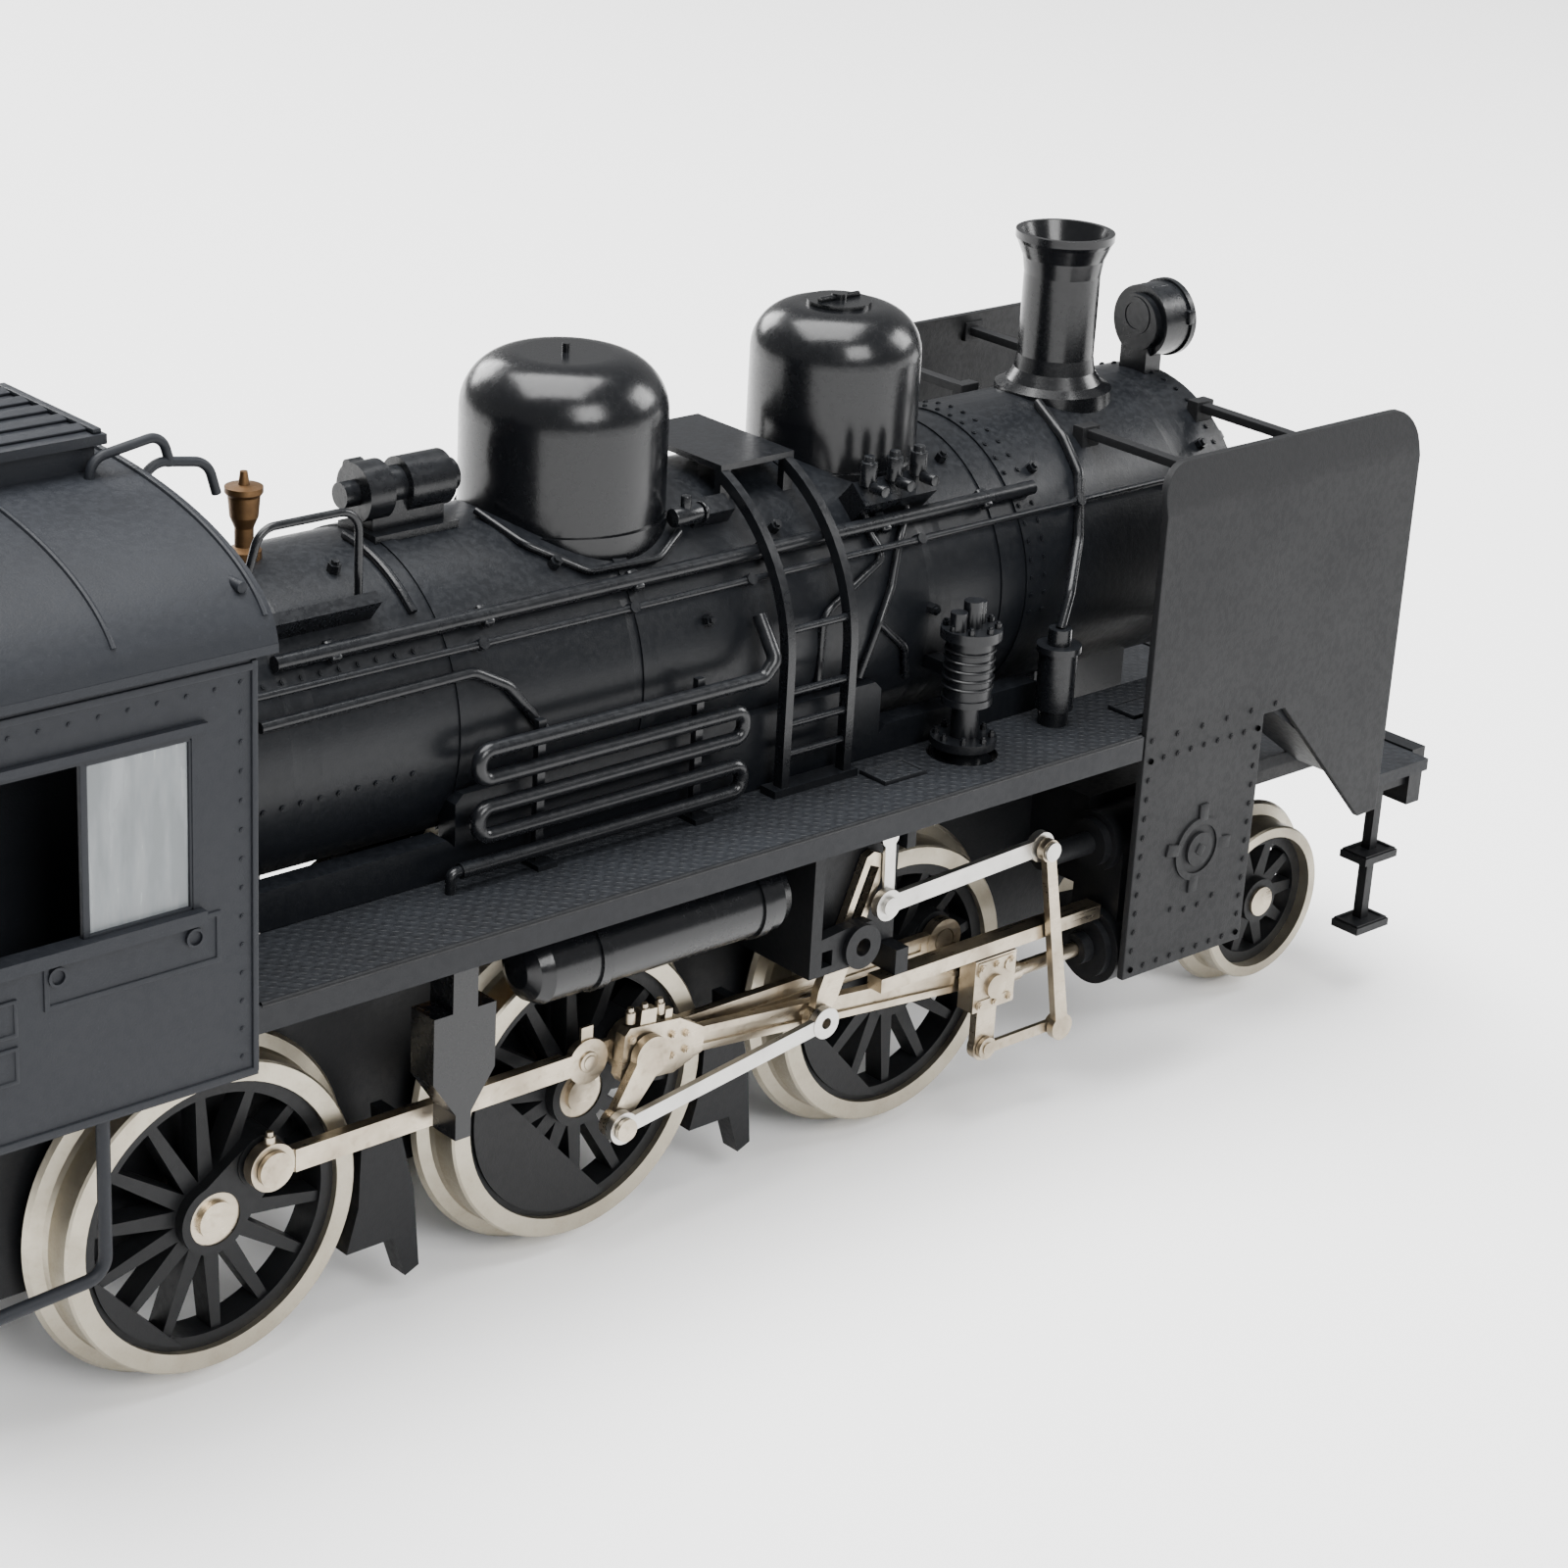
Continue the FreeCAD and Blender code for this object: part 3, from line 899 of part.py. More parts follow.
shell = new_body("boiler_body")
outer = [("cab_front - cab_wall", "boiler_r")]
for band in BANDS:
    outer += [(f"{band} - 0.45", "boiler_r"), (f"{band} - 0.45", "boiler_r + 0.1"),
              (f"{band} + 0.45", "boiler_r + 0.1"),
              (f"{band} + 0.45", "boiler_r")]
outer += [("smokebox_x", "boiler_r"), ("smokebox_x", "boiler_r + 0.12"),
          ("smokebox_front", "boiler_r + 0.12"),
          ("smokebox_front", "boiler_r - boiler_wall"), ("cab_front - cab_wall", "boiler_r - boiler_wall")]
revolve(shell, polygon(sketch(shell, "XZ_Plane"), *outer), "H_Axis")
SKIRT_STEPS = (("cab_front", "15.6", "2.2"), ("15.6", "46", "4.6"), ("46", "smokebox_x + 2", "1.8"))
for side in (RIGHT, LEFT):
    for back, ahead, tall in SKIRT_STEPS:
        side_pad(shell, side, "skirt_half - 1.45", "skirt_half", polygon, (back, "board_top - boiler_z"),
                 (ahead, "board_top - boiler_z"), (ahead, f"board_top - boiler_z + {tall} - 0.5"),
                 (f"{ahead} - 0.5", f"board_top - boiler_z + {tall}"),
                 (f"{back} + 0.5", f"board_top - boiler_z + {tall}"),
                 (back, f"board_top - boiler_z + {tall} - 0.5"))
saddle_block = sketch(shell, "XY_Plane", "frame_top + 1.4 - boiler_z")
pad(shell, rectangle(saddle_block, ("cyl_back + 1", "cyl_front - 1"), ("-5.5", "5.5")),
    "boiler_z - frame_top - 6")
bore = sketch(shell, "YZ_Plane", "cab_front - 3")
pocket(shell, circle(bore, "0", "0", "boiler_r - boiler_wall"), "smokebox_front - cab_front + 4",
       reverse=True)
belly = sketch(shell, "XY_Plane", "-boiler_r - 1")
pocket(shell, rectangle(belly, ("cab_front - 2", "main_x + tower_half + 9"),
                        ("-(skirt_half - 2.2)", "skirt_half - 2.2")),
       "boiler_r", reverse=True)
at(shell, "0", "0", "boiler_z")
node("boiler_shell", group("boiler_set", shell))

door = new_body("smokebox_door_body")
revolve(door, polygon(sketch(door, "XZ_Plane"), ("smokebox_front - 1", "0"),
                      ("smokebox_front - 1", "boiler_r - boiler_wall"),
                      ("smokebox_front", "boiler_r - boiler_wall"), ("smokebox_front", "boiler_r - 0.2"),
                      ("smokebox_front + 0.5", "boiler_r - 0.5"), ("smokebox_front + 0.5", "boiler_r - 2"),
                      ("smokebox_front + 0.9", "boiler_r - 2.2"), ("smokebox_front + 1.5", "boiler_r * 0.45"),
                      ("smokebox_front + 1.7", "0.7"), ("smokebox_front + 2.7", "0.55"),
                      ("smokebox_front + 2.7", "0")),
        "H_Axis")
for low in ("-3.2", "2.4"):
    strap = sketch(door, "XZ_Plane")
    polygon(strap, ("smokebox_front", low), ("smokebox_front + 1.65", low),
            ("smokebox_front + 1.65", f"{low} + 0.8"),
            ("smokebox_front", f"{low} + 0.8"))
    pad(door, strap, "9.4", both=True)
at(door, "0", "0", "boiler_z")
node("smokebox_door", group("door_set", door))

stack = new_body("chimney_body")
revolve(stack, polygon(sketch(stack, "XZ_Plane"), ("chimney_r - 0.4", "boiler_z + boiler_r - 2.85"),
                       ("chimney_r + 1.5", "boiler_z + boiler_r - 2.85"),
                       ("chimney_r + 1.25", "boiler_z + boiler_r + 0.25"),
                       ("chimney_r + 0.6", "boiler_z + boiler_r + 0.6"),
                       ("chimney_r + 0.15", "boiler_z + boiler_r + 1.3"),
                       ("chimney_r", "boiler_z + boiler_r + 2.2"),
                       ("chimney_r", "chimney_top - 2.6"), ("chimney_r + 0.15", "chimney_top - 1.6"),
                       ("chimney_rim - 0.15", "chimney_top - 0.7"), ("chimney_rim", "chimney_top - 0.45"),
                       ("chimney_rim", "chimney_top"), ("chimney_rim - 0.35", "chimney_top"),
                       ("chimney_r - 0.4", "chimney_top - 1.8")), "V_Axis")
at(stack, "chimney_x", "0", "0")
node("chimney", on_boiler("chimney_cut", stack))


def dome(name, x, radius, hatch):
    """Round-shouldered dome cut to the boiler, with a hatch or a lifting eye on its crown."""
    body = new_body(name)
    wall = pad(body, circle(sketch(body, "XY_Plane", "boiler_z + boiler_r - 3.85"), "0", "0", radius),
               "dome_top - boiler_z - 5")
    doc.recompute()
    rim = [f"Edge{i}" for i, edge in enumerate(wall.Shape.Edges, start=1)
           if abs(edge.BoundBox.ZMin - num("dome_top")) < 1e-3
           and abs(edge.BoundBox.ZMax - num("dome_top")) < 1e-3]
    shoulder = body.newObject("PartDesign::Fillet", body.Name + "_shoulder")
    shoulder.Base = (wall, rim)
    shoulder.setExpression("Radius", bound(f"{radius} * 0.55"))
    at(body, x, "0", "0")
    crown = ([rod_z(f"{name}_hatch", "1.9", x, "0", ("dome_top - 0.1", "dome_top + 0.25")),
              rod_x(f"{name}_bar", "0.18", (f"{x} - 1.5", f"{x} + 1.5"), "0", "dome_top + 0.35"),
              rod_z(f"{name}_knob", "0.45", x, "0", ("dome_top", "dome_top + 0.6"))] if hatch else
             [rod_z(f"{name}_eye", "0.22", x, "0", ("dome_top - 0.1", "dome_top + 0.5"))])
    foot = rod_z(f"{name}_foot", f"{radius} + 0.18", x, "0",
                 ("boiler_z + boiler_r - 3.85", "boiler_z + boiler_r * 0.9"))
    return on_boiler(f"{name}_cut", fuse(f"{name}_solid", body, foot, *crown))


node("rear_dome", dome("rear_dome_wall", "rear_dome_x", "rear_dome_r", False))
node("front_dome", dome("front_dome_wall", "front_dome_x", "front_dome_r", True))

# Walkway between the domes, with the ladder down to the running board.
LADDER = ("37.2", "41.9")
reach = "boiler_r + 1.05"
walk_z = "boiler_z + boiler_r + 0.85"
walk = [box("walk_plate", (LADDER[0], f"{LADDER[1]} + 0.7"), ("-4.2", "4.2"), (walk_z, f"{walk_z} + 0.35"))]
walk += [box(f"walk_leg_{i}", (x, f"{x} + 0.7"), (y, f"{y} + 0.5"), ("boiler_z + boiler_r - 1.85", walk_z))
         for i, (x, y) in enumerate((x, y) for x in LADDER for y in ("-4.2", "3.7"))]
for i, x in enumerate(LADDER):
    ring = cut(f"ladder_ring_{i}", rod_x(f"ladder_outer_{i}", f"{reach} + 0.7", (x, f"{x} + 0.55"), "0",
                                         "boiler_z"),
               rod_x(f"ladder_inner_{i}", reach, (f"{x} - 1", f"{x} + 2"), "0", "boiler_z"))
    quarter = doc.addObject("Part::Common", f"ladder_arc_{i}")
    quarter.Base = ring
    quarter.Tool = box(f"ladder_keep_{i}", (f"{x} - 1", f"{x} + 2"), ("-14", "-4.15"),
                       ("boiler_z", f"{walk_z} + 0.3"))
    walk += [quarter, box(f"ladder_leg_{i}", (x, f"{x} + 0.55"), (f"-({reach} + 0.7)", f"-({reach})"),
                          ("board_top", "boiler_z"))]
for i, height in enumerate(("33.2", "29.6", "27.7", "25.9")):
    y = f"-sqrt(({reach} + 0.3)^2 - ({height} - boiler_z)^2)" if i == 0 else f"-({reach} + 0.35)"
    walk.append(rod_x(f"rung_{i}", "0.22", (f"{LADDER[0]} + 0.3", f"{LADDER[1]} + 0.3"), y, height))
walk.append(box("ladder_foot", (f"{LADDER[0]} - 0.6", f"{LADDER[1]} + 1"),
                (f"-({reach} + 0.85)", f"-({reach} - 0.4)"),
                ("board_top", "board_top + 0.45")))
node("boiler_ladder", on_boiler("walkway", fuse("walkway_solid", *walk)))

generator_z = "boiler_z + boiler_r + 2.25"
generator = fuse("generator_solid",
                 rod_x("turbine", "1.6", ("15.4", "17"), "0", generator_z),
                 rod_x("turbine_boss", "0.7", ("14.5", "15.4"), "0", generator_z),
                 rod_x("turbine_pipe", "0.45", ("15.6", "16.5"), "0.9", f"{generator_z} + 1.1"),
                 rod_x("generator_neck", "1.05", ("17", "18.2"), "0", generator_z),
                 rod_x("dynamo", "1.5", ("18.2", "21"), "0", generator_z),
                 rod_x("dynamo_cap", "0.9", ("21", "21.7"), "0", generator_z),
                 box("generator_foot", ("16", "20.6"), ("-0.9", "0.9"),
                     ("boiler_z + boiler_r - 1.85", generator_z)),
                 box("generator_plate", ("15.6", "21"), ("-1.7", "1.7"), ("boiler_z + boiler_r - 0.3",
                                                                           "boiler_z + boiler_r + 0.25")))
node("turbo_generator", on_boiler("generator_cut", generator))

brass = new_body("whistle_body")
revolve(brass, polygon(sketch(brass, "XZ_Plane"), ("0", "boiler_z + boiler_r - 0.85"),
                       ("0.9", "boiler_z + boiler_r - 0.85"),
                       ("0.9", "boiler_z + boiler_r + 0.4"), ("0.5", "boiler_z + boiler_r + 0.6"),
                       ("0.5", "boiler_z + boiler_r + 1.6"), ("0.75", "boiler_z + boiler_r + 2.2"),
                       ("0.85", "boiler_z + boiler_r + 3.3"), ("1", "boiler_z + boiler_r + 3.5"),
                       ("1", "boiler_z + boiler_r + 3.8"), ("0.3", "boiler_z + boiler_r + 3.9"),
                       ("0.2", "boiler_z + boiler_r + 4.6"), ("0", "boiler_z + boiler_r + 4.6")), "V_Axis")
at(brass, "8.6", "0", "0")
node("whistle", on_boiler("whistle_cut", brass))

compressor_y = "-11.6"
pump = [rod_z(f"pump_{i}", radius, "50.4", compressor_y, (low, high))
        for i, (radius, low, high) in enumerate((
    ("1.75", "board_top - 2.4", "board_top - 0.3"), ("1.2", "board_top - 0.3", "board_top + 0.6"),
    ("1.95", "board_top + 0.6", "board_top + 1.1"), ("0.8", "board_top + 1.1", "board_top + 3.2"),
    ("1.5", "board_top + 3.2", "board_top + 3.6"), ("1.4", "board_top + 3.6", "board_top + 7.2"),
    ("1.8", "board_top + 7.2", "board_top + 7.8"), ("0.55", "board_top + 7.8", "board_top + 9.4")))]
pump += [rod_z("pump_valve", "0.5", "49.3", compressor_y, ("board_top + 7.8", "board_top + 8.9")),
         rod_z("pump_cap", "0.5", "51.2", "-11.2", ("board_top + 7.8", "board_top + 9.1")),
         box("pump_stay", ("49.9", "50.9"), ("-11", "-8.2"), ("board_top + 4.4", "board_top + 5.2"))]
node("air_compressor", on_boiler("pump_cut", fuse("pump_solid", *pump)))

pot_x, pot_y = "58.3", "-11.2"
pot = [rod_z(f"pot_{i}", radius, pot_x, pot_y, (low, high)) for i, (radius, low, high) in enumerate((
    ("0.9", "board_top", "board_top + 1"), ("1.15", "board_top + 1", "board_top + 4.6"),
    ("1.35", "board_top + 4.6", "board_top + 5"), ("0.7", "board_top + 5", "board_top + 6")))]
pot = fuse("pot_solid", *pot)


def tube(radius, *points, bend=1.2):
    """Round pipe along straight runs joined by tangent arcs."""
    points = [V(*p) for p in points]
    edges, start = [], points[0]
    for before, corner, after in zip(points, points[1:], points[2:]):
        into, out = (corner - before).normalize(), (after - corner).normalize()
        turn = into.getAngle(out)
        if turn < 1e-3:
            continue
        room = 0.45 * min((corner - before).Length, (after - corner).Length)
        back = min(bend * math.tan(turn / 2), room)
        first, last = corner - into * back, corner + out * back
        bisector = (out - into).normalize()
        arc_r = back / math.tan(turn / 2)
        middle = corner + bisector * (arc_r / math.cos(turn / 2) - arc_r)
        edges += [Part.LineSegment(start, first).toShape(), Part.Arc(first, middle, last).toShape()]
        start = last
    edges.append(Part.LineSegment(start, points[-1]).toShape())
    path = Part.Wire(edges)
    ring = Part.Wire(Part.makeCircle(radius, points[0], points[1] - points[0]))
    return path.makePipeShell([ring], True, False)


def around_boiler(x, clock, gap):
    """Point outside the boiler: station, degrees above the horizontal on the right, gap from its surface."""
    radius, lean = num("boiler_r") + gap, math.radians(clock)
    return x, -radius * math.cos(lean), num("boiler_z") + radius * math.sin(lean)


def joined(shapes):
    """Union of code-made shapes."""
    return shapes[0].multiFuse(shapes[1:]) if len(shapes) > 1 else shapes[0]


def barrel(gap, back, ahead):
    """Solid cylinder on the boiler's axis, larger than the barrel by a gap."""
    return Part.makeCylinder(num("boiler_r") + gap, num(ahead) - num(back), V(num(back), 0, num("boiler_z")),
                             V(1, 0, 0))


core = barrel(0.001, "cab_front - 4", "smokebox_x").multiFuse(
    [barrel(0.121, "smokebox_x", "smokebox_front + 1")]
    + [barrel(0.101, f"{band} - 0.451", f"{band} + 0.451") for band in BANDS])
rails, rail_clock, rail_gap = [], 30.0, 0.8
rail_back, rail_ahead = num("cab_front") + 0.05, num("smokebox_front") - 4
for clock in (rail_clock, 180 - rail_clock):
    hand = [tube(0.2, around_boiler(rail_back, clock, rail_gap), around_boiler(rail_ahead, clock, rail_gap))]
    for station in (17.6, 27.7, 36.0, 48.9, 62.0, 71.0):
        post = V(*around_boiler(station, clock, -0.3))
        reach = V(*around_boiler(station, clock, rail_gap)) - post
        hand.append(Part.makeCylinder(0.17, reach.Length, post, reach))
        hand.append(Part.makeCylinder(0.32, 0.6, post + reach * (1 - 0.3 / reach.Length), reach))
    rails.append(joined(hand).cut(core))
node("boiler_handrails", feature("boiler_handrail_pair", Part.makeCompound(rails)))

pipes = [
    (0.42, [around_boiler(x, 39, 0.55) for x in (5.5, 59.0)]),
    (0.3, [around_boiler(3.8, 21, 0.35), around_boiler(17.0, 22, 0.35), around_boiler(19.0, 15, 0.35),
           around_boiler(21.4, -4, 0.4)]),
    (0.22, [around_boiler(22.7, 84, 0.3), around_boiler(23.4, 62, 0.3), around_boiler(26.3, 46, 0.3),
            around_boiler(31.0, 45, 0.3), around_boiler(33.2, 53, 0.3)]),
    (0.22, [around_boiler(46.3, 50, 0.3), around_boiler(45.9, 36, 0.3), around_boiler(46.4, 27, 0.3),
            around_boiler(41.2, 12, 0.3), around_boiler(41.2, -16, 0.3)]),
    (0.22, [around_boiler(49.3, 50, 0.3), around_boiler(49.3, 42, 0.3), around_boiler(47.9, 32, 0.3),
            around_boiler(46.5, 16, 0.3), around_boiler(45.4, 4, 0.3), around_boiler(44.4, -16, 0.3)]),
    (0.22, [around_boiler(45.4, 4, 0.3), around_boiler(47.6, -8, 0.3), around_boiler(48.4, -22, 0.3)]),
    (0.3, [around_boiler(64.2, 76, 0.42), around_boiler(63.6, 56, 0.42), around_boiler(63.2, 40, 0.42),
           around_boiler(61.6, 16, 0.5), (59.2, -10.9, 31.6), (58.3, -11.2, num("board_top") + 6)]),
    (0.22, [(4.6, -5.0, num("boiler_z") + 7), (6.2, -5.0, 43.4), (12.2, -5.0, 43.4),
            (12.2, -5.0, num("boiler_z") + 7)]),
]
plumbing = [tube(radius, *route) for radius, route in pipes]
for station, clock, size in ((45.2, 48, (5.6, 1.6, 2.2)), (5.3, 50, (7.0, 0.7, 2.2)),
                             (34.4, 58, (2.6, 1.2, 1.6))):
    block = Part.makeBox(size[0], size[1], size[2], V(station, -size[1] / 2, -0.6))
    block.rotate(V(0, 0, 0), V(1, 0, 0), 90.0 - clock)
    place = around_boiler(station, clock, 0)
    block.translate(V(0, place[1], place[2]))
    plumbing.append(block)
pot_top = Part.makeCylinder(2, 6, V(58.3, -11.2, num("board_top")))
node("boiler_pipework", group("pipework_set", feature("pipework", joined(plumbing).cut(core).cut(pot_top)),
                              pot))

# Cooling pipe: one pipe folded back and forth beside the boiler, on two posts.
COOLER_Y, ROW_GAP, ROWS = -10.6, 1.6, 5
top_row = num("boiler_z") - 0.1
ends = (15.9, 34.1)
route = [around_boiler(36.2, 18, 0.7), (36.2, COOLER_Y, top_row + 0.9), (35.4, COOLER_Y, top_row)]
for row in range(ROWS):
    here = top_row - row * ROW_GAP
    near, far = (ends[1], ends[0]) if row % 2 == 0 else ends
    route += [(near, COOLER_Y, here)] * (row > 0) + [(far, COOLER_Y, here)]
route[-1] = (14.8, COOLER_Y, route[-1][2])
cooler = [tube(0.42, *route, bend=0.75),
          tube(0.3, (14.9, COOLER_Y, route[-1][2]), (14.2, COOLER_Y, route[-1][2]),
                                              (14.2, COOLER_Y, num("board_top")), bend=0.5)]
for station in (20.0, 30.9):
    cooler += [Part.makeBox(0.5, 0.42, top_row + 0.75 - num("board_top"),
                            V(station, COOLER_Y + 0.3, num("board_top"))),
               Part.makeBox(1.3, 1.5, 0.3, V(station - 0.4, COOLER_Y - 0.5, num("board_top")))]
node("cooling_pipe", feature("cooler", joined(cooler).cut(core)))

# ---------------------------------------------------------------- running board, front end and deflectors

BOARD_IN, SHEER = "skirt_half + 0.05", "body_half - plate_thick - 0.1"
under = "board_top - board_thick"
slope_back, slope_ahead = "deflector_back + 11.6", "deflector_front - 0.2"
boards = new_body("running_boards")
pad(boards, rectangle(sketch(boards, "XY_Plane", "deck_top - board_thick"), (slope_ahead, "deck_front - 1.4"),
                      (f"-({SHEER})", SHEER)), "board_thick")
pad(boards, rectangle(sketch(boards, "XY_Plane", "deck_top - board_thick"),
                      ("smokebox_front + 3.2", slope_ahead),
                      (f"-({BOARD_IN} + 0.2)", f"{BOARD_IN} + 0.2")), "board_thick")
for side in (RIGHT, LEFT):
    side_pad(boards, side, BOARD_IN, SHEER, polygon, ("cab_front", under), (slope_back, under),
             (slope_ahead, "deck_top - board_thick"), (f"{slope_ahead} + 0.6", "deck_top - board_thick"),
             (f"{slope_ahead} + 0.6", "deck_top"), (f"{slope_back} + 0.4", "board_top"),
             ("cab_front", "board_top"))
    side_pad(boards, side, SHEER, "body_half", rectangle, ("cab_front", "deflector_back - 0.2"),
             ("valance_low", "board_top"))
notch = sketch(boards, "XY_Plane", f"{under} - 2")
pocket(boards, circle(notch, "50.4", compressor_y, "2.1"), "5", reverse=True)
node("running_board", boards)

beam = [box("beam_plate", ("deck_front - 1.3", "deck_front"), ("-14", "14"),
            ("deck_top - 3.8", "deck_top + 0.1")),
        box("draft_box", ("deck_front - 1.3", "deck_front + 0.5"), ("-2.6", "2.6"),
            ("deck_top - 5.4", "deck_top - 0.9"))]
for side in (RIGHT, LEFT):
    tag = TAG[side]
    hang = ("deck_front - 4.2", "deck_front - 3.5")
    beam += [box(f"step_post_{tag}", hang, across(side, "13", "13.7"), ("3.5", "deck_top - board_thick")),
             box(f"step_root_{tag}", (hang[0], "deck_front - 1"), across(side, "13", "13.7"),
                 ("deck_top - 2.4", "deck_top - board_thick")),
             box(f"step_low_{tag}", ("deck_front - 5.6", "deck_front - 2.4"), across(side, "12.4", "14.6"),
                 ("3.4", "3.9")),
             box(f"step_mid_{tag}", ("deck_front - 5.6", "deck_front - 2.4"), across(side, "12.4", "14.6"),
                 ("8.4", "8.9"))]
beam += [rod_z("lamp_iron", "0.35", "deck_front - 0.6", "-8.6", ("deck_top", "deck_top + 2.4")),
         rod_z("lamp_iron_left", "0.35", "deck_front - 0.6", "8.6", ("deck_top", "deck_top + 2.4"))]
coupler = fuse("coupler_solid",
               box("coupler_shank", ("deck_front + 0.5", "front_reach - 2.2"), ("-0.8", "0.8"),
                   ("10.7", "12.1")),
               box("coupler_head", ("front_reach - 2.4", "front_reach - 0.5"), ("-1.9", "1.2"),
                   ("10", "12.8")),
               rod_z("knuckle", "0.75", "front_reach - 0.75", "-1.1", ("10", "12.8")))
node("buffer_beam", group("front_end", fuse("beam_solid", *beam), coupler))

deflectors = []
for side in (RIGHT, LEFT):
    sheet_plate = new_body(f"deflector_plate_{TAG[side]}")
    corner = "deflector_top - 1.8"
    side_pad(sheet_plate, side, "body_half - plate_thick", "body_half", polygon,
             ("deflector_back", "cover_low"), ("cover_front", "cover_low"),
             ("cover_front", "board_top - 0.9"),
             ("cover_front + 1.9", "board_top - 1"), ("deflector_front - 1.8", "deck_top - 2.1"),
             ("deflector_front", "deck_top - 1.9"), ("deflector_front", corner),
             ("deflector_front - 0.6", f"{corner} + 1.2"), ("deflector_front - 1.8", "deflector_top"),
             ("deflector_back + 1.8", "deflector_top"), ("deflector_back + 0.6", f"{corner} + 1.2"),
             ("deflector_back", corner))
    stays = [box(f"stay_{i}_{TAG[side]}", (x, f"{x} + 0.8"), across(side, "3.8", "body_half - plate_thick"),
                 ("deflector_top - 1.6", "deflector_top - 0.9"))
             for i, x in enumerate(("65.1", "smokebox_front - 1.2"))]
    brace = box(f"brace_{TAG[side]}", ("deflector_back + 4", "deflector_back + 4.6"),
                across(side, SHEER, "body_half - plate_thick"), ("board_top - 0.8", "board_top"))
    deflectors.append(on_boiler(f"deflector_cut_{TAG[side]}",
                                fuse(f"deflector_{TAG[side]}", sheet_plate, *stays, brace)))
node("smoke_deflectors", group("deflector_pair", *deflectors))

lamp_z = "boiler_z + boiler_r + 3.15"
lamp = fuse("lamp_solid", rod_x("lamp_drum", "2.3", ("smokebox_front - 1.2", "smokebox_front + 1.3"), "0",
                                lamp_z),
            rod_x("lamp_back", "1.8", ("smokebox_front - 1.7", "smokebox_front - 1.2"), "0", lamp_z),
            rod_x("lamp_rim", "2.45", ("smokebox_front + 0.9", "smokebox_front + 1.3"), "0", lamp_z),
            box("lamp_foot", ("smokebox_front - 1.6", "smokebox_front - 0.2"), ("-1.1", "1.1"),
                ("boiler_z + boiler_r - 1.85", lamp_z)))
lens_hole = rod_x("lens_hole", "1.95", ("smokebox_front + 0.5", "smokebox_front + 2"), "0", lamp_z)
node("headlight", on_boiler("lamp_cut", cut("lamp_bored", lamp, lens_hole)))
node("headlight_lens", group("lens_set", rod_x("lens", "1.9", ("smokebox_front + 0.5",
                                                               "smokebox_front + 1.1"), "0", lamp_z)))

# ---------------------------------------------------------------- cab

ROOF_POWER = 2.15


def roof_block(half, eave, peak, back, ahead):
    """Solid under a rounded roof line, from a flat base at the eave, running along X."""
    half, eave, peak, back, ahead = (num(text) for text in (half, eave, peak, back, ahead))
    points = []
    for step in range(25):
        lean = math.pi * step / 24
        y = math.copysign(abs(math.cos(lean)) ** (2 / ROOF_POWER), math.cos(lean)) * half
        points.append(V(back, y, eave + (peak - eave) * abs(math.sin(lean)) ** (2 / ROOF_POWER)))
    curve = Part.BSplineCurve()
    curve.interpolate(points)
    outline = Part.Wire([curve.toShape(), Part.LineSegment(points[-1], points[0]).toShape()])
    return Part.Face(outline).extrude(V(ahead - back, 0, 0))


def slab(x, y, z):
    """Box between expressions, as a shape."""
    low, high = zip(*[(num(a), num(b)) for a, b in (x, y, z)])
    return Part.makeBox(*[b - a for a, b in zip(low, high)], V(*low))


inside_half, inside_low, inside_peak = "body_half - cab_wall", "cab_eave - 0.5", "roof_peak - roof_thick"
outer_roof = roof_block("body_half + gutter_out", "cab_eave", "roof_peak", "roof_back", "roof_front")
hollow = roof_block(inside_half, inside_low, inside_peak, "roof_back - 1", "roof_front + 1")
gutters = [slab(("roof_back", "roof_front"), across(side, "body_half - cab_wall", "body_half + gutter_out"),
                ("cab_eave", "cab_eave + 0.45")) for side in (RIGHT, LEFT)]
vent = joined([slab(("-12.5", "-2.6"), ("-4.2", "4.2"), ("roof_peak - 0.9", "roof_peak + 1.2")),
               slab(("-12.9", "-2.2"), ("-4.7", "4.7"), ("roof_peak + 1.2", "roof_peak + 1.7"))])
roof_pipes = [tube(0.25, (-3.5, -5, 46.9), (-3.3, -5, 48.6), (0.6, -5, 49.2), (1.1, -5, 47.6)),
              tube(0.25, (-0.8, -5, 46.8), (0.2, -5, 47.9), (3.2, -5, 47.4), (3.7, -5, 45.7))]
roof = joined([outer_roof.cut(hollow), *gutters, vent.cut(hollow),
               *[pipe.cut(hollow) for pipe in roof_pipes]])
node("cab_roof", feature("roof", roof))

wall_y = ("body_half - cab_wall", "body_half")
walls = []
for side in (RIGHT, LEFT):
    wall = slab(("cab_back", "cab_front"), across(side, *wall_y), ("cab_low", "cab_eave"))
    wall = wall.cut(slab(("-15.5", "-4.9"), across(side, "body_half - 2", "body_half + 1"),
                         ("sill_z", "window_top")))
    walls += [wall, slab(("-15.5", "-4.2"), across(side, "body_half - 0.1", "body_half + 0.35"),
                         ("window_top + 0.3", "window_top + 0.75")),
              slab(("cab_back", "cab_back + cab_wall"), across(side, "11.5", "body_half"),
                   ("cab_low", "cab_eave")),
              slab(("-16.2", "-4.4"), across(side, "body_half - 0.1", "body_half + 0.45"),
                   ("sill_z - 0.7", "sill_z"))]
front_wall = slab(("cab_front - cab_wall", "cab_front"), ("-body_half", "body_half"), ("cab_low", "cab_eave"))
arch = roof_block(inside_half, inside_low, inside_peak, "cab_front - cab_wall", "cab_front")
front_wall = front_wall.fuse(arch).cut(barrel(0.0, "cab_front - 3", "cab_front + 3"))
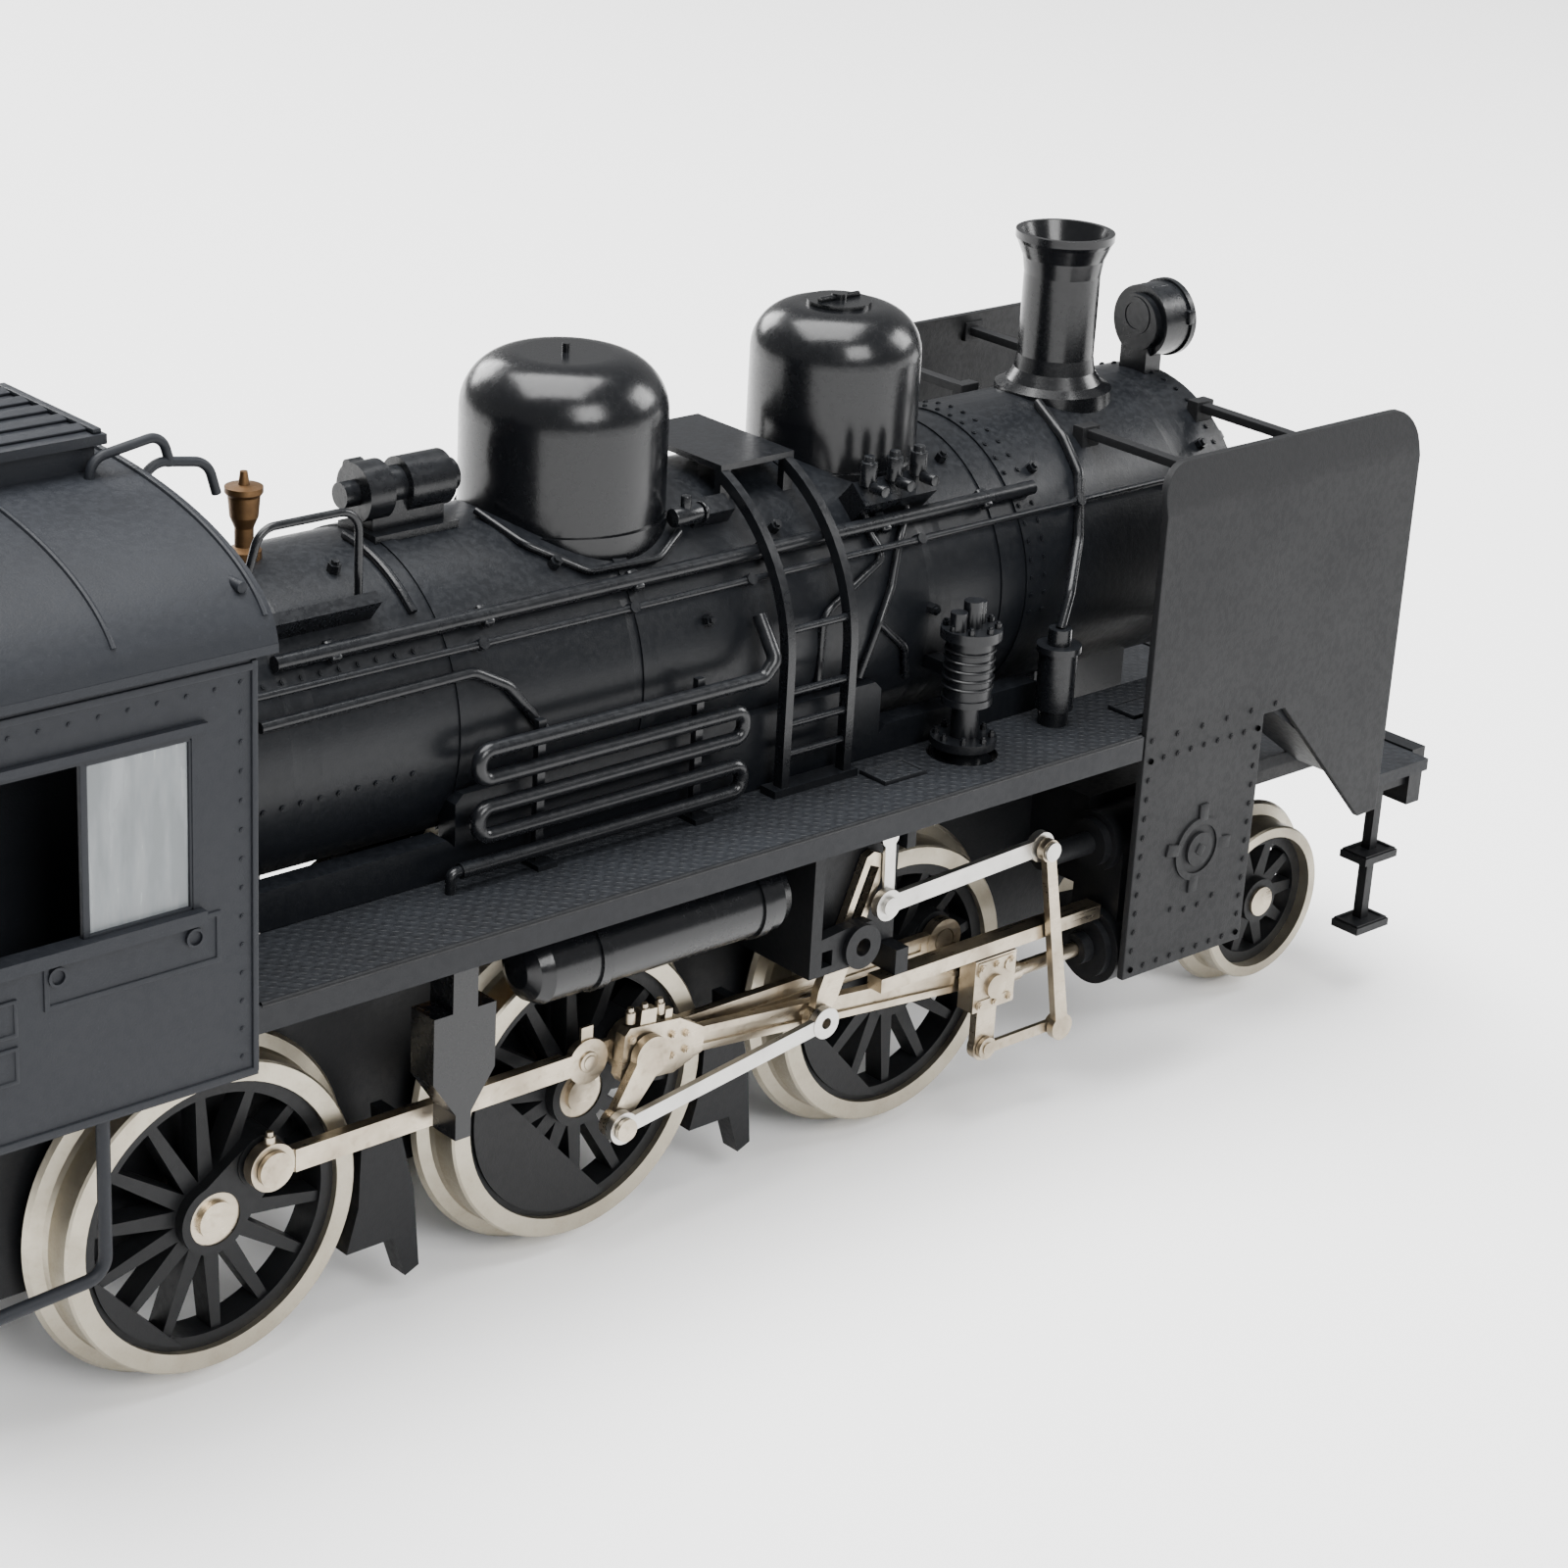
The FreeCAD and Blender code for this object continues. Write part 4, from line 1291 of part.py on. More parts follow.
front_wall = front_wall.cut(slab(("cab_front - 2", "cab_front + 2"), ("-(skirt_half - 1)", "skirt_half - 1"),
                                 ("cab_low - 1", "boiler_z")))
for side in (RIGHT, LEFT):
    front_wall = front_wall.cut(slab(("cab_front - 2", "cab_front + 2"), across(side, "10.6", "13.8"),
                                     ("36.4", "41")))
floor = slab(("cab_back", "cab_front"), ("-body_half", "body_half"), ("cab_low", "cab_low + 1"))
floor = floor.cut(slab(("motor_back - 2.2", "cab_front + 1"), ("-(motor_half + 0.6)", "motor_half + 0.6"),
                       ("cab_low - 1", "cab_low + 3")))
backhead = slab(("motor_back - 3", "cab_front"), ("-(motor_half + 1.6)", "motor_half + 1.6"),
                ("cab_low", "boiler_z + 5"))
backhead = backhead.cut(slab(("motor_back - 2.2", "cab_front + 1"),
                             ("-(motor_half + 0.6)", "motor_half + 0.6"),
                             ("cab_low - 1", "boiler_z + 4")))
seats = [slab(("cab_back + 2", "cab_back + 6"), across(side, "9.5", "body_half"),
              ("cab_low", "cab_low + 5.5"))
         for side in (RIGHT, LEFT)]
injectors = [tube(0.35, (-8.6, side * 13.6, 20.5), (-8.6, side * 13.6, 10.2), (-17.6, side * 13.6, 9.6),
                  (-17.6, side * 13.6, 20.5)) for side in (RIGHT, LEFT)]
cab = joined([*walls, front_wall, floor, backhead, *seats,
              *injectors]).cut(barrel(0.0, "cab_front - cab_wall", "cab_front + 3"))
node("cab_body", feature("cab_shell", cab))

panes = []
for side in (RIGHT, LEFT):
    panes += [box(f"side_pane_{TAG[side]}", ("-10.4", "-4.9"), across(side, "body_half - cab_wall + 0.1",
                  "body_half - cab_wall + 0.4"), ("sill_z", "window_top")),
              box(f"front_pane_{TAG[side]}", ("cab_front - cab_wall + 0.1", "cab_front - cab_wall + 0.4"),
                  across(side, "10.6", "13.8"), ("36.4", "41"))]
node("cab_windows", group("pane_set", *panes))

# ---------------------------------------------------------------- tanks under the boards, and the drawbar

tanks = []
for side in (RIGHT, LEFT):
    tag, y = TAG[side], f"{side} * 12.6"
    tank_z = "board_top - board_thick - 3.7"
    tank = new_body(f"tank_{tag}")
    revolve(tank, polygon(sketch(tank, "XZ_Plane"), ("17", "0"), ("17.1", "1"), ("17.5", "1.75"),
                          ("18.2", "2.1"),
                          ("34.3", "2.1"), ("35", "1.75"), ("35.4", "1"), ("35.5", "0")), "H_Axis")
    at(tank, "0", y, tank_z)
    straps = [rod_x(f"strap_{i}_{tag}", "2.25", (x, f"{x} + 0.7"), y, tank_z)
              for i, x in enumerate(("21.3", "32.7"))]
    hangers = [box(f"hanger_{i}_{tag}", (x, f"{x} + 0.7"), across(side, "11.6", "13.6"), (tank_z, under))
               for i, x in enumerate(("21.3", "32.7"))]
    hopper = new_body(f"hopper_{tag}")
    side_pad(hopper, side, "11.7", "13.7", polygon, ("11", "18.4"), ("11", "14.6"), ("12.5", "12.4"),
             ("12.5", "10.9"),
             ("13.5", "10.9"), ("13.5", "12.4"), ("15", "14.6"), ("15", "18.4"), ("13.8", "18.4"),
             ("13.8", under),
             ("12.2", under), ("12.2", "18.4"))
    tanks += [fuse(f"tank_set_{tag}", tank, *straps, *hangers), hopper]
node("air_tanks", group("tank_group", *tanks))

drawbar = cut("drawbar_cut", fuse("drawbar_solid",
                                  box("drawbar_bar", ("-rear_reach + 1.6", DRAWBAR_X), ("-1.3", "1.3"),
                                      (drawbar_low, DRAWBAR_TOP)),
                                  rod_z("drawbar_eye", "1.9", DRAWBAR_X, "0", (drawbar_low, DRAWBAR_TOP)),
                                  rod_z("drawbar_end", "1.9", "-rear_reach + 1.9", "0",
                                        (drawbar_low, DRAWBAR_TOP))),
              rod_z("drawbar_bore", "0.6 + fit", DRAWBAR_X, "0",
                    (f"{drawbar_low} - 1", f"{DRAWBAR_TOP} + 1")),
              rod_z("drawbar_hole", "0.8", "-rear_reach + 1.9", "0",
                    (f"{drawbar_low} - 1", f"{DRAWBAR_TOP} + 1")))
node("drawbar", group("drawbar_set", drawbar))

# ---------------------------------------------------------------- checks and export

doc.recompute()
for piece in doc.Objects:
    if "Invalid" in piece.State or "Error" in piece.State:
        raise RuntimeError(f"{piece.Label} failed: {piece.State}")
for piece in nodes:
    if piece.Shape.isNull() or not piece.Shape.isValid() or not piece.Shape.Solids:
        raise RuntimeError(f"{piece.Label} has no valid solid")

os.makedirs("parts", exist_ok=True)
for piece in nodes:
    piece.Shape.exportStep(f"parts/{piece.Label}.step")
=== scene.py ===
"""Model steam locomotive for display: finishes on the machined frame, and the fine fittings on it."""
import json
import logging
import math
from contextlib import contextmanager
from dataclasses import dataclass
from enum import Enum
from typing import Callable, Iterator, Sequence, Union

import bpy
from mathutils import Matrix, Vector


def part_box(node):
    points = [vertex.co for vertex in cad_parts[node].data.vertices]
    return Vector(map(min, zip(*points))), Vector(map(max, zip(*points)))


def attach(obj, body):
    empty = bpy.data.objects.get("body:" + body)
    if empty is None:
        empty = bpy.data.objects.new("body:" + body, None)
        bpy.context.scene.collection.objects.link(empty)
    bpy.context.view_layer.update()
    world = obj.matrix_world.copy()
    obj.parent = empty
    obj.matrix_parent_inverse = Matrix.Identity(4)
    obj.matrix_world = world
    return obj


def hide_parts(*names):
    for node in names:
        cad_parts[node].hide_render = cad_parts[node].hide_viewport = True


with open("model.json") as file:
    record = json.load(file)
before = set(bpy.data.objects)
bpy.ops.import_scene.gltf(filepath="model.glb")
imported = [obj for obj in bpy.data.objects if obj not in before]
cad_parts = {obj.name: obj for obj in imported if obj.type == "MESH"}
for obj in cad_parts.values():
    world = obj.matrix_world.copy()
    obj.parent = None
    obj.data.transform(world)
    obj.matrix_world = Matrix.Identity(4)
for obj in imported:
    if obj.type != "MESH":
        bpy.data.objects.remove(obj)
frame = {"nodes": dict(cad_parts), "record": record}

LOG = logging.getLogger("locomotive")
MM = 0.001
RIGHT, LEFT = -1, 1
DIAGONAL = 0.7071            # of a square's corner, per unit along each side
HEX_CORNERS = 1.732          # a hexagon's corner radius is its width across flats divided by this
SQUARE_ON = 0.9              # a face looks along a direction when its normal reaches this far along it
SMOOTH_BELOW = 35.0          # degrees between faces that are shaded as one surface
DOOR_STEP = 0.2              # the smokebox door is this much smaller than the boiler's skin, in millimetres
RIVET_SIDES, NUT_SIDES = 8, 6

Point = tuple[float, float, float]
Value = Union[float, tuple, bpy.types.NodeSocket, "Signal"]


# ------------------------------------------------------------------ shader building

class Signal:
    """A shader value that can be added, multiplied and compared like a number."""

    def __init__(self, graph: "Graph", socket: bpy.types.NodeSocket) -> None:
        """Keep the socket and the graph that its maths is added to."""
        self.graph = graph
        self.socket = socket

    def _math(self, operation: str, *values: Value) -> "Signal":
        """Add one Math node and return its result."""
        return self.graph.make("ShaderNodeMath", {"operation": operation}, dict(enumerate(values)))

    def __add__(self, other: Value) -> "Signal":
        """Sum."""
        return self._math("ADD", self, other)

    __radd__ = __add__

    def __sub__(self, other: Value) -> "Signal":
        """Difference."""
        return self._math("SUBTRACT", self, other)

    def __rsub__(self, other: Value) -> "Signal":
        """Difference with the signal on the right."""
        return self._math("SUBTRACT", other, self)

    def __mul__(self, other: Value) -> "Signal":
        """Product."""
        return self._math("MULTIPLY", self, other)

    __rmul__ = __mul__

    def __gt__(self, other: Value) -> "Signal":
        """One where the signal is greater, otherwise zero."""
        return self._math("GREATER_THAN", self, other)

    def wave(self) -> "Signal":
        """Sine of the signal."""
        return self._math("SINE", self)

    def between(self, low: float, high: float) -> "Signal":
        """Zero at low and one at high, clamped outside them.

        Args:
            low: value that gives zero.
            high: value that gives one.

        Returns:
            The remapped signal.
        """
        return self.graph.make("ShaderNodeMapRange", {"clamp": True},
                               {"Value": self, "From Min": low, "From Max": high})


class Graph:
    """One material's node tree, ready for a Principled surface."""

    def __init__(self, name: str) -> None:
        """Make an empty material with a Principled shader on its output.

        Args:
            name: name given to what is made.
        """
        self.material = bpy.data.materials.new(name)
        self.material.use_nodes = True
        self.tree = self.material.node_tree
        self.tree.nodes.clear()
        self.surface = self.tree.nodes.new("ShaderNodeBsdfPrincipled")
        output = self.tree.nodes.new("ShaderNodeOutputMaterial")
        self.tree.links.new(self.surface.outputs["BSDF"], output.inputs["Surface"])

    def feed(self, socket: bpy.types.NodeSocket, value: Value) -> None:
        """Link or set one input socket.

        Args:
            socket: input to feed.
            value: number, colour, socket or signal.
        """
        if isinstance(value, Signal):
            value = value.socket
        if isinstance(value, bpy.types.NodeSocket):
            self.tree.links.new(value, socket)
        else:
            socket.default_value = value

    def make(self, kind: str, settings: dict[str, object], inputs: dict[Union[str, int], Value],
             output: Union[str, int] = 0) -> Signal:
        """Add a node with its settings and inputs.

        Args:
            kind: the node's type name.
            settings: attributes set before the sockets are fed.
            inputs: socket names or numbers, with values or links.
            output: the output to return.

        Returns:
            The chosen output as a signal.
        """
        node = self.tree.nodes.new(kind)
        for key, value in settings.items():
            setattr(node, key, value)
        for key, value in inputs.items():
            self.feed(node.inputs[key], value)
        return Signal(self, node.outputs[output])

    def place(self, scale: Point = (1.0, 1.0, 1.0), centre: Point = (0.0, 0.0, 0.0)) -> Signal:
        """Object coordinates moved to a centre and stretched along each axis.

        Args:
            scale: stretch along each axis.
            centre: point that becomes the origin, in metres.

        Returns:
            The new signal.
        """
        spot = self.make("ShaderNodeTexCoord", {}, {}, "Object")
        moved = self.make("ShaderNodeMapping", {"vector_type": "POINT"},
                          {"Vector": spot, "Location": tuple(-c * s for c, s in zip(centre, scale)),
                           "Scale": scale})
        return moved

    def noise(self, scale: float, detail: float = 3.0, where: Value = None) -> Signal:
        """Soft noise between about 0.3 and 0.7, at so many spots to the metre."""
        return self.make("ShaderNodeTexNoise", {},
                         {"Vector": where or self.place(), "Scale": scale, "Detail": detail})

    def blend(self, mask: Value, first: tuple, second: Value) -> Signal:
        """Mix of two colours."""
        return self.make("ShaderNodeMix", {"data_type": "RGBA"}, {0: mask, 6: first, 7: second}, 2)

    def facing(self, axis: int) -> Signal:
        """Component of the surface normal along one axis, so that dust can settle on top."""
        normal = self.make("ShaderNodeNewGeometry", {}, {}, "Normal")
        return self.make("ShaderNodeSeparateXYZ", {}, {0: normal}, axis)

    def axis(self, number: int, where: Value = None) -> Signal:
        """One coordinate of the point being shaded."""
        return self.make("ShaderNodeSeparateXYZ", {}, {0: where or self.place()}, number)

    def bump(self, height: Value, depth: float, strength: float = 1.0, under: Value = None) -> Signal:
        """Normal of a height pattern so many metres deep.

        Args:
            height: the pattern.
            depth: in metres.
            strength: share of the depth that is used.
            under: a normal that this one is laid over.

        Returns:
            The new signal.
        """
        inputs: dict[Union[str, int], Value] = {"Height": height, "Distance": depth, "Strength": strength}
        if under is not None:
            inputs["Normal"] = under
        return self.make("ShaderNodeBump", {}, inputs)


class Tread(Enum):
    """Pattern pressed into a painted sheet."""

    PLAIN = "plain"
    CHEQUER = "chequer"
    SEAMS = "seams"


class Grain(Enum):
    """Direction that a metal was worked in."""

    ALONG = "along the rod"
    TURNED = "turned about the axle"
    CAST = "cast"


@dataclass(frozen=True)
class Paint:
    """Airbrushed paint over metal or plastic: fine orange peel, dust on top faces and rubbed patches."""

    name: str
    colour: Point
    dust: Point
    roughness: float
    rubbed: float = 0.12
    dusty: float = 0.25
    peel: float = 0.012
    coat: float = 0.0
    sheen: float = 0.19
    tread: Tread = Tread.PLAIN

    def build(self) -> bpy.types.Material:
        """Make the paint's material.

        Returns:
            The material.
        """
        g = Graph(self.name)
        cloud = g.noise(160.0, 4.0).between(0.35, 0.68)
        grain = g.noise(9000.0, 2.0)
        fine = g.noise(2600.0, 3.0).between(0.42, 0.62)
        settled = g.facing(2).between(0.35, 1.0) * (cloud * 0.6 + fine * 0.4) * self.dusty
        specks = (g.noise(5200.0, 1.0) > 0.735) * self.dusty * 0.7
        tint = g.blend(settled + specks, (*self.colour, 1.0), (*self.dust, 1.0))
        worn = (cloud * self.rubbed * -0.5 + fine * self.rubbed * 0.55 + settled * 0.3
                + (self.roughness - 0.02))
        g.feed(g.surface.inputs["Base Color"], tint)
        g.feed(g.surface.inputs["Roughness"], worn)
        normal = g.bump(grain + fine * 0.35, self.peel * MM, 0.55)
        if self.tread is Tread.CHEQUER:
            normal = g.bump(self._chequer(g), 0.05 * MM, 0.9, normal)
        if self.tread is Tread.SEAMS:
            normal = g.bump(self._seams(g), 0.05 * MM, 0.8, normal)
        g.feed(g.surface.inputs["Normal"], normal)
        g.surface.inputs["Coat Weight"].default_value = self.coat
        g.surface.inputs["Coat Roughness"].default_value = 0.18
        g.surface.inputs["Specular IOR Level"].default_value = self.sheen
        return g.material

    @staticmethod
    def _chequer(g: Graph) -> Signal:
        """Raised diamond tread, on faces that look up only.

        Args:
            g: the material being built.

        Returns:
            The new signal.
        """
        pitch = 2 * math.pi / (0.62 * MM)
        one = (g.axis(0) + g.axis(1)) * pitch * DIAGONAL
        two = (g.axis(0) - g.axis(1)) * pitch * DIAGONAL
        ridges = one.wave().between(0.1, 0.8) * two.wave().between(-0.9, 0.9)
        return ridges * g.facing(2).between(0.7, 0.95)

    @staticmethod
    def _seams(g: Graph) -> Signal:
        """Lap seams between sheets, a shallow step every few centimetres along the engine."""
        return (g.axis(0) * (2 * math.pi / (22.0 * MM))).wave().between(-0.995, -0.97)


@dataclass(frozen=True)
class Metal:
    """Bare or plated metal with tool marks, a little tarnish and finger marks."""

    name: str
    colour: Point
    tarnish: Point
    roughness: float
    grain: Grain
    marks: float = 0.3
    stain: float = 0.4

    def build(self) -> bpy.types.Material:
        """Make the metal's material.

        Returns:
            The material.
        """
        g = Graph(self.name)
        stretch = (0.05, 1.0, 1.0) if self.grain is Grain.ALONG else (1.0, 1.0, 1.0)
        lines = g.noise(7000.0, 2.0, g.place(stretch))
        cloud = g.noise(420.0, 4.0).between(0.4, 0.72)
        spots = g.noise(1900.0, 2.0).between(0.55, 0.8)
        g.feed(g.surface.inputs["Base Color"],
               g.blend((cloud * 0.7 + spots * 0.5) * self.stain, (*self.colour, 1.0), (*self.tarnish, 1.0)))
        g.feed(g.surface.inputs["Roughness"],
               lines.between(0.3, 0.7) * self.marks * 0.4 + cloud * 0.12 + self.roughness)
        g.feed(g.surface.inputs["Normal"], g.bump(lines, 0.006 * MM, 0.5))
        g.surface.inputs["Metallic"].default_value = 1.0
        return g.material


@dataclass(frozen=True)
class Clear:
    """Thin clear plastic, with faint scratches."""

    name: str
    colour: Point
    alpha: float
    roughness: float

    def build(self) -> bpy.types.Material:
        """Make the pane's material.

        Returns:
            The material.
        """
        g = Graph(self.name)
        haze = g.noise(900.0, 4.0, g.place((1.0, 1.0, 0.2))).between(0.4, 0.7)
        g.feed(g.surface.inputs["Roughness"], haze * 0.12 + self.roughness)
        g.feed(g.surface.inputs["Base Color"],
               g.blend(haze * 0.2, (*self.colour, 1.0), (0.5, 0.52, 0.53, 1.0)))
        g.surface.inputs["Alpha"].default_value = self.alpha
        g.surface.inputs["IOR"].default_value = 1.49
        return g.material


BLACK = (0.0030, 0.0036, 0.0048)
DUST = (0.034, 0.039, 0.047)
FINISHES = {
    "boiler": Paint("boiler_paint", BLACK, DUST, 0.40, dusty=0.16, coat=0.06, tread=Tread.SEAMS),
    "dome": Paint("dome_paint", (0.0028, 0.0031, 0.0038), DUST, 0.27, rubbed=0.08, dusty=0.03, peel=0.006,
                  coat=0.16, sheen=0.26),
    "pipe": Paint("pipe_paint", (0.0034, 0.0038, 0.0047), DUST, 0.32, dusty=0.14, coat=0.08, sheen=0.26),
    "cab": Paint("cab_paint", (0.0085, 0.0096, 0.0122), (0.045, 0.050, 0.060), 0.54, dusty=0.12,
                 peel=0.016),
    "roof": Paint("roof_paint", (0.0080, 0.0092, 0.0118), (0.048, 0.053, 0.063), 0.52, dusty=0.14,
                  peel=0.016),
    "plate": Paint("plate_paint", (0.0064, 0.0067, 0.0074), (0.030, 0.031, 0.034), 0.6, dusty=0.14,
                   peel=0.02),
    "board": Paint("board_paint", (0.0052, 0.0058, 0.0072), DUST, 0.55, dusty=0.22, tread=Tread.CHEQUER),
    "frame": Paint("frame_paint", (0.0030, 0.0033, 0.0040), DUST, 0.5, dusty=0.1, peel=0.014),
    "wheel": Paint("wheel_paint", (0.0048, 0.0050, 0.0055), DUST, 0.48, dusty=0.08, peel=0.01),
    "nickel": Metal("nickel_plate", (0.46, 0.40, 0.31), (0.11, 0.08, 0.048), 0.24, Grain.ALONG, stain=0.6),
    "tyre": Metal("tyre_nickel", (0.38, 0.345, 0.275), (0.19, 0.16, 0.11), 0.30, Grain.TURNED, marks=0.4),
    "bright": Metal("bright_steel", (0.52, 0.51, 0.485), (0.25, 0.235, 0.21), 0.26, Grain.ALONG, stain=0.4),
    "steel": Metal("turned_steel", (0.36, 0.35, 0.33), (0.18, 0.165, 0.14), 0.34, Grain.TURNED),
    "brass": Metal("aged_brass", (0.13, 0.075, 0.036), (0.04, 0.024, 0.014), 0.42, Grain.CAST, stain=0.8),
    "copper": Metal("worm_brass", (0.62, 0.43, 0.21), (0.32, 0.2, 0.08), 0.3, Grain.TURNED),
    "gear": Paint("gear_plastic", (0.56, 0.54, 0.46), (0.36, 0.34, 0.28), 0.42, dusty=0.1, peel=0.01),
    "pane": Clear("window_pane", (0.11, 0.12, 0.125), 0.86, 0.2),
    "lens": Clear("lamp_lens", (0.7, 0.72, 0.74), 0.55, 0.05),
}

NODE_FINISH = {
    "boiler_shell": "boiler", "smokebox_door": "boiler", "chimney": "dome", "rear_dome": "dome",
    "front_dome": "dome",
    "boiler_ladder": "pipe", "turbo_generator": "pipe", "whistle": "brass", "air_compressor": "pipe",
    "boiler_handrails": "pipe", "boiler_pipework": "pipe", "cooling_pipe": "pipe", "running_board": "board",
    "buffer_beam": "frame", "smoke_deflectors": "plate", "headlight": "pipe", "headlight_lens": "lens",
    "cab_roof": "roof", "cab_body": "cab", "cab_windows": "pane", "air_tanks": "dome",
    "frame_screws": "steel",
    "motor_case": "steel", "slide_bars": "nickel", "return_cranks": "nickel", "axle_gear": "gear",
    "idler_gear": "gear", "armature": "copper",
}
NAME_FINISH = (("tyres", "tyre"), ("wheel_centres", "wheel"), ("_axle", "nickel"),
               ("coupling_rods", "nickel"), ("main_rod", "nickel"), ("crosshead", "nickel"), ("combination_lever", "nickel"),
               ("eccentric_rod", "bright"), ("radius_rod", "bright"), ("expansion_link", "nickel"))


def finish_for(node: str) -> str:
    """Name of the finish that a machined node wears.

    Args:
        node: the node's name in the frame.

    Returns:
        Key of the finish.
    """
    if node in NODE_FINISH:
        return NODE_FINISH[node]
    return next((finish for word, finish in NAME_FINISH if word in node), "frame")


# ------------------------------------------------------------------ modelling bench

class Datum:
    """Places measured in millimetres from the rear driving axle, the rail top and the centre line."""

    def __init__(self) -> None:
        """Find the rear axle, the rail and the boiler from the machined nodes' boxes."""
        low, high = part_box("rear_tyres")
        flange = 1.0 * MM
        self.axle_x = (low[0] + high[0]) / 2
        self.rail_z = low[2] + flange
        shell_low, shell_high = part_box("boiler_shell")
        door_low, door_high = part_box("smokebox_door")
        self.boiler_r = (door_high[2] - door_low[2]) / 2 / MM + DOOR_STEP
        self.boiler_z = ((door_high[2] + door_low[2]) / 2 - self.rail_z) / MM

    def at(self, x: float, y: float, z: float) -> Vector:
        """Point in the row's frame, in metres."""
        return Vector((self.axle_x + x * MM, y * MM, self.rail_z + z * MM))

    def on_boiler(self, x: float, clock: float, gap: float = 0.0) -> Vector:
        """Point on the boiler's skin, at degrees above the horizontal on the right-hand side.

        Args:
            x: along the engine from the rear driving axle, in millimetres.
            clock: degrees above the horizontal, on the right-hand side.
            gap: distance off the skin, in millimetres.

        Returns:
            The point, in metres.
        """
        reach = self.boiler_r + gap
        lean = math.radians(clock)
        return self.at(x, -reach * math.cos(lean), self.boiler_z + reach * math.sin(lean))


class Bench:
    """Modelling by hand: primitives, edit-mode shaping, modifiers, copies and the last fitting to a body."""

    def __init__(self, datum: Datum) -> None:
        """Keep the datum and make every finish once.

        Args:
            datum: the places that sizes are measured from.
        """
        self.datum = datum
        self.materials = {key: finish.build() for key, finish in FINISHES.items()}
        self.made = 0

    def clear(self) -> None:
        """Deselect everything in object mode."""
        if bpy.context.object and bpy.context.object.mode != "OBJECT":
            bpy.ops.object.mode_set(mode="OBJECT")
        bpy.ops.object.select_all(action="DESELECT")

    def pick(self, piece: bpy.types.Object) -> None:
        """Select one piece alone and make it active.

        Args:
            piece: the mesh to work on.
        """
        self.clear()
        piece.select_set(True)
        bpy.context.view_layer.objects.active = piece

    @contextmanager
    def editing(self, piece: bpy.types.Object) -> Iterator[bpy.types.Object]:
        """Edit mode on one piece, with nothing selected at the start.

        Args:
            piece: the mesh to work on.

        Returns:
            The piece, while edit mode lasts.
        """
        self.pick(piece)
        bpy.ops.object.mode_set(mode="EDIT")
        bpy.ops.mesh.select_mode(type="FACE")
        bpy.ops.mesh.select_all(action="DESELECT")
        yield piece
        bpy.ops.object.mode_set(mode="OBJECT")

    def choose(self, piece: bpy.types.Object, test: Callable[[bpy.types.MeshPolygon], bool]) -> None:
        """Select the faces that pass a test, from within edit mode.

        Args:
            piece: the mesh to work on.
            test: picks the faces.
        """
        bpy.ops.object.mode_set(mode="OBJECT")
        for face in piece.data.polygons:
            face.select = test(face)
        bpy.ops.object.mode_set(mode="EDIT")

    def drum(self, radius: float, length: float, centre: Vector, axis: str = "Z",
             sides: int = 24) -> bpy.types.Object:
        """Turned blank: a closed cylinder in millimetres, about one axis, at a place in metres.

        Args:
            radius: in millimetres.
            length: in millimetres.
            centre: the middle, in metres.
            axis: the axis it is turned about, X, Y or Z.
            sides: number of flats round it.

        Returns:
            The blank.
        """
        self.clear()
        turn = {"X": (0, math.pi / 2, 0), "Y": (math.pi / 2, 0, 0), "Z": (0, 0, 0)}[axis]
        bpy.ops.mesh.primitive_cylinder_add(vertices=sides, radius=radius * MM, depth=length * MM,
                                            location=centre, rotation=turn)
        return self.settle(bpy.context.object)

    def block(self, size: Point, centre: Vector, turn: Point = (0, 0, 0)) -> bpy.types.Object:
        """Rectangular blank, in millimetres.

        Args:
            size: along X, Y and Z, in millimetres.
            centre: the middle, in metres.
            turn: angles about X, Y and Z, in radians.

        Returns:
            The blank.
        """
        self.clear()
        bpy.ops.mesh.primitive_cube_add(size=1, location=centre, rotation=turn,
                                        scale=tuple(s * MM for s in size))
        return self.settle(bpy.context.object)

    def outline(self, corners: Sequence[tuple[float, float]], thick: float,
                side_y: float) -> bpy.types.Object:
        """Sheet cut to an outline in the side view and extruded across the engine.

        Args:
            corners: (x, z) in millimetres, in order round the outline.
            thick: thickness in millimetres, towards +Y.
            side_y: place of the sheet's -Y face, in millimetres.

        Returns:
            The closed sheet.
        """
        self.clear()
        bpy.ops.mesh.primitive_circle_add(vertices=len(corners), radius=MM, fill_type="NGON")
        sheet = bpy.context.object
        for vertex, (x, z) in zip(sheet.data.vertices, corners):
            vertex.co = self.datum.at(x, side_y, z)
        with self.editing(sheet):
            bpy.ops.mesh.select_all(action="SELECT")
            bpy.ops.mesh.extrude_region_move(TRANSFORM_OT_translate={"value": (0, thick * MM, 0)})
            bpy.ops.mesh.select_all(action="SELECT")
            bpy.ops.mesh.normals_make_consistent(inside=False)
        return sheet

    def settle(self, piece: bpy.types.Object) -> bpy.types.Object:
        """Put the piece's place and turn into its mesh.

        Args:
            piece: the mesh to work on.

        Returns:
            The same piece.
        """
        self.pick(piece)
        bpy.ops.object.transform_apply(location=True, rotation=True, scale=True)
        return piece

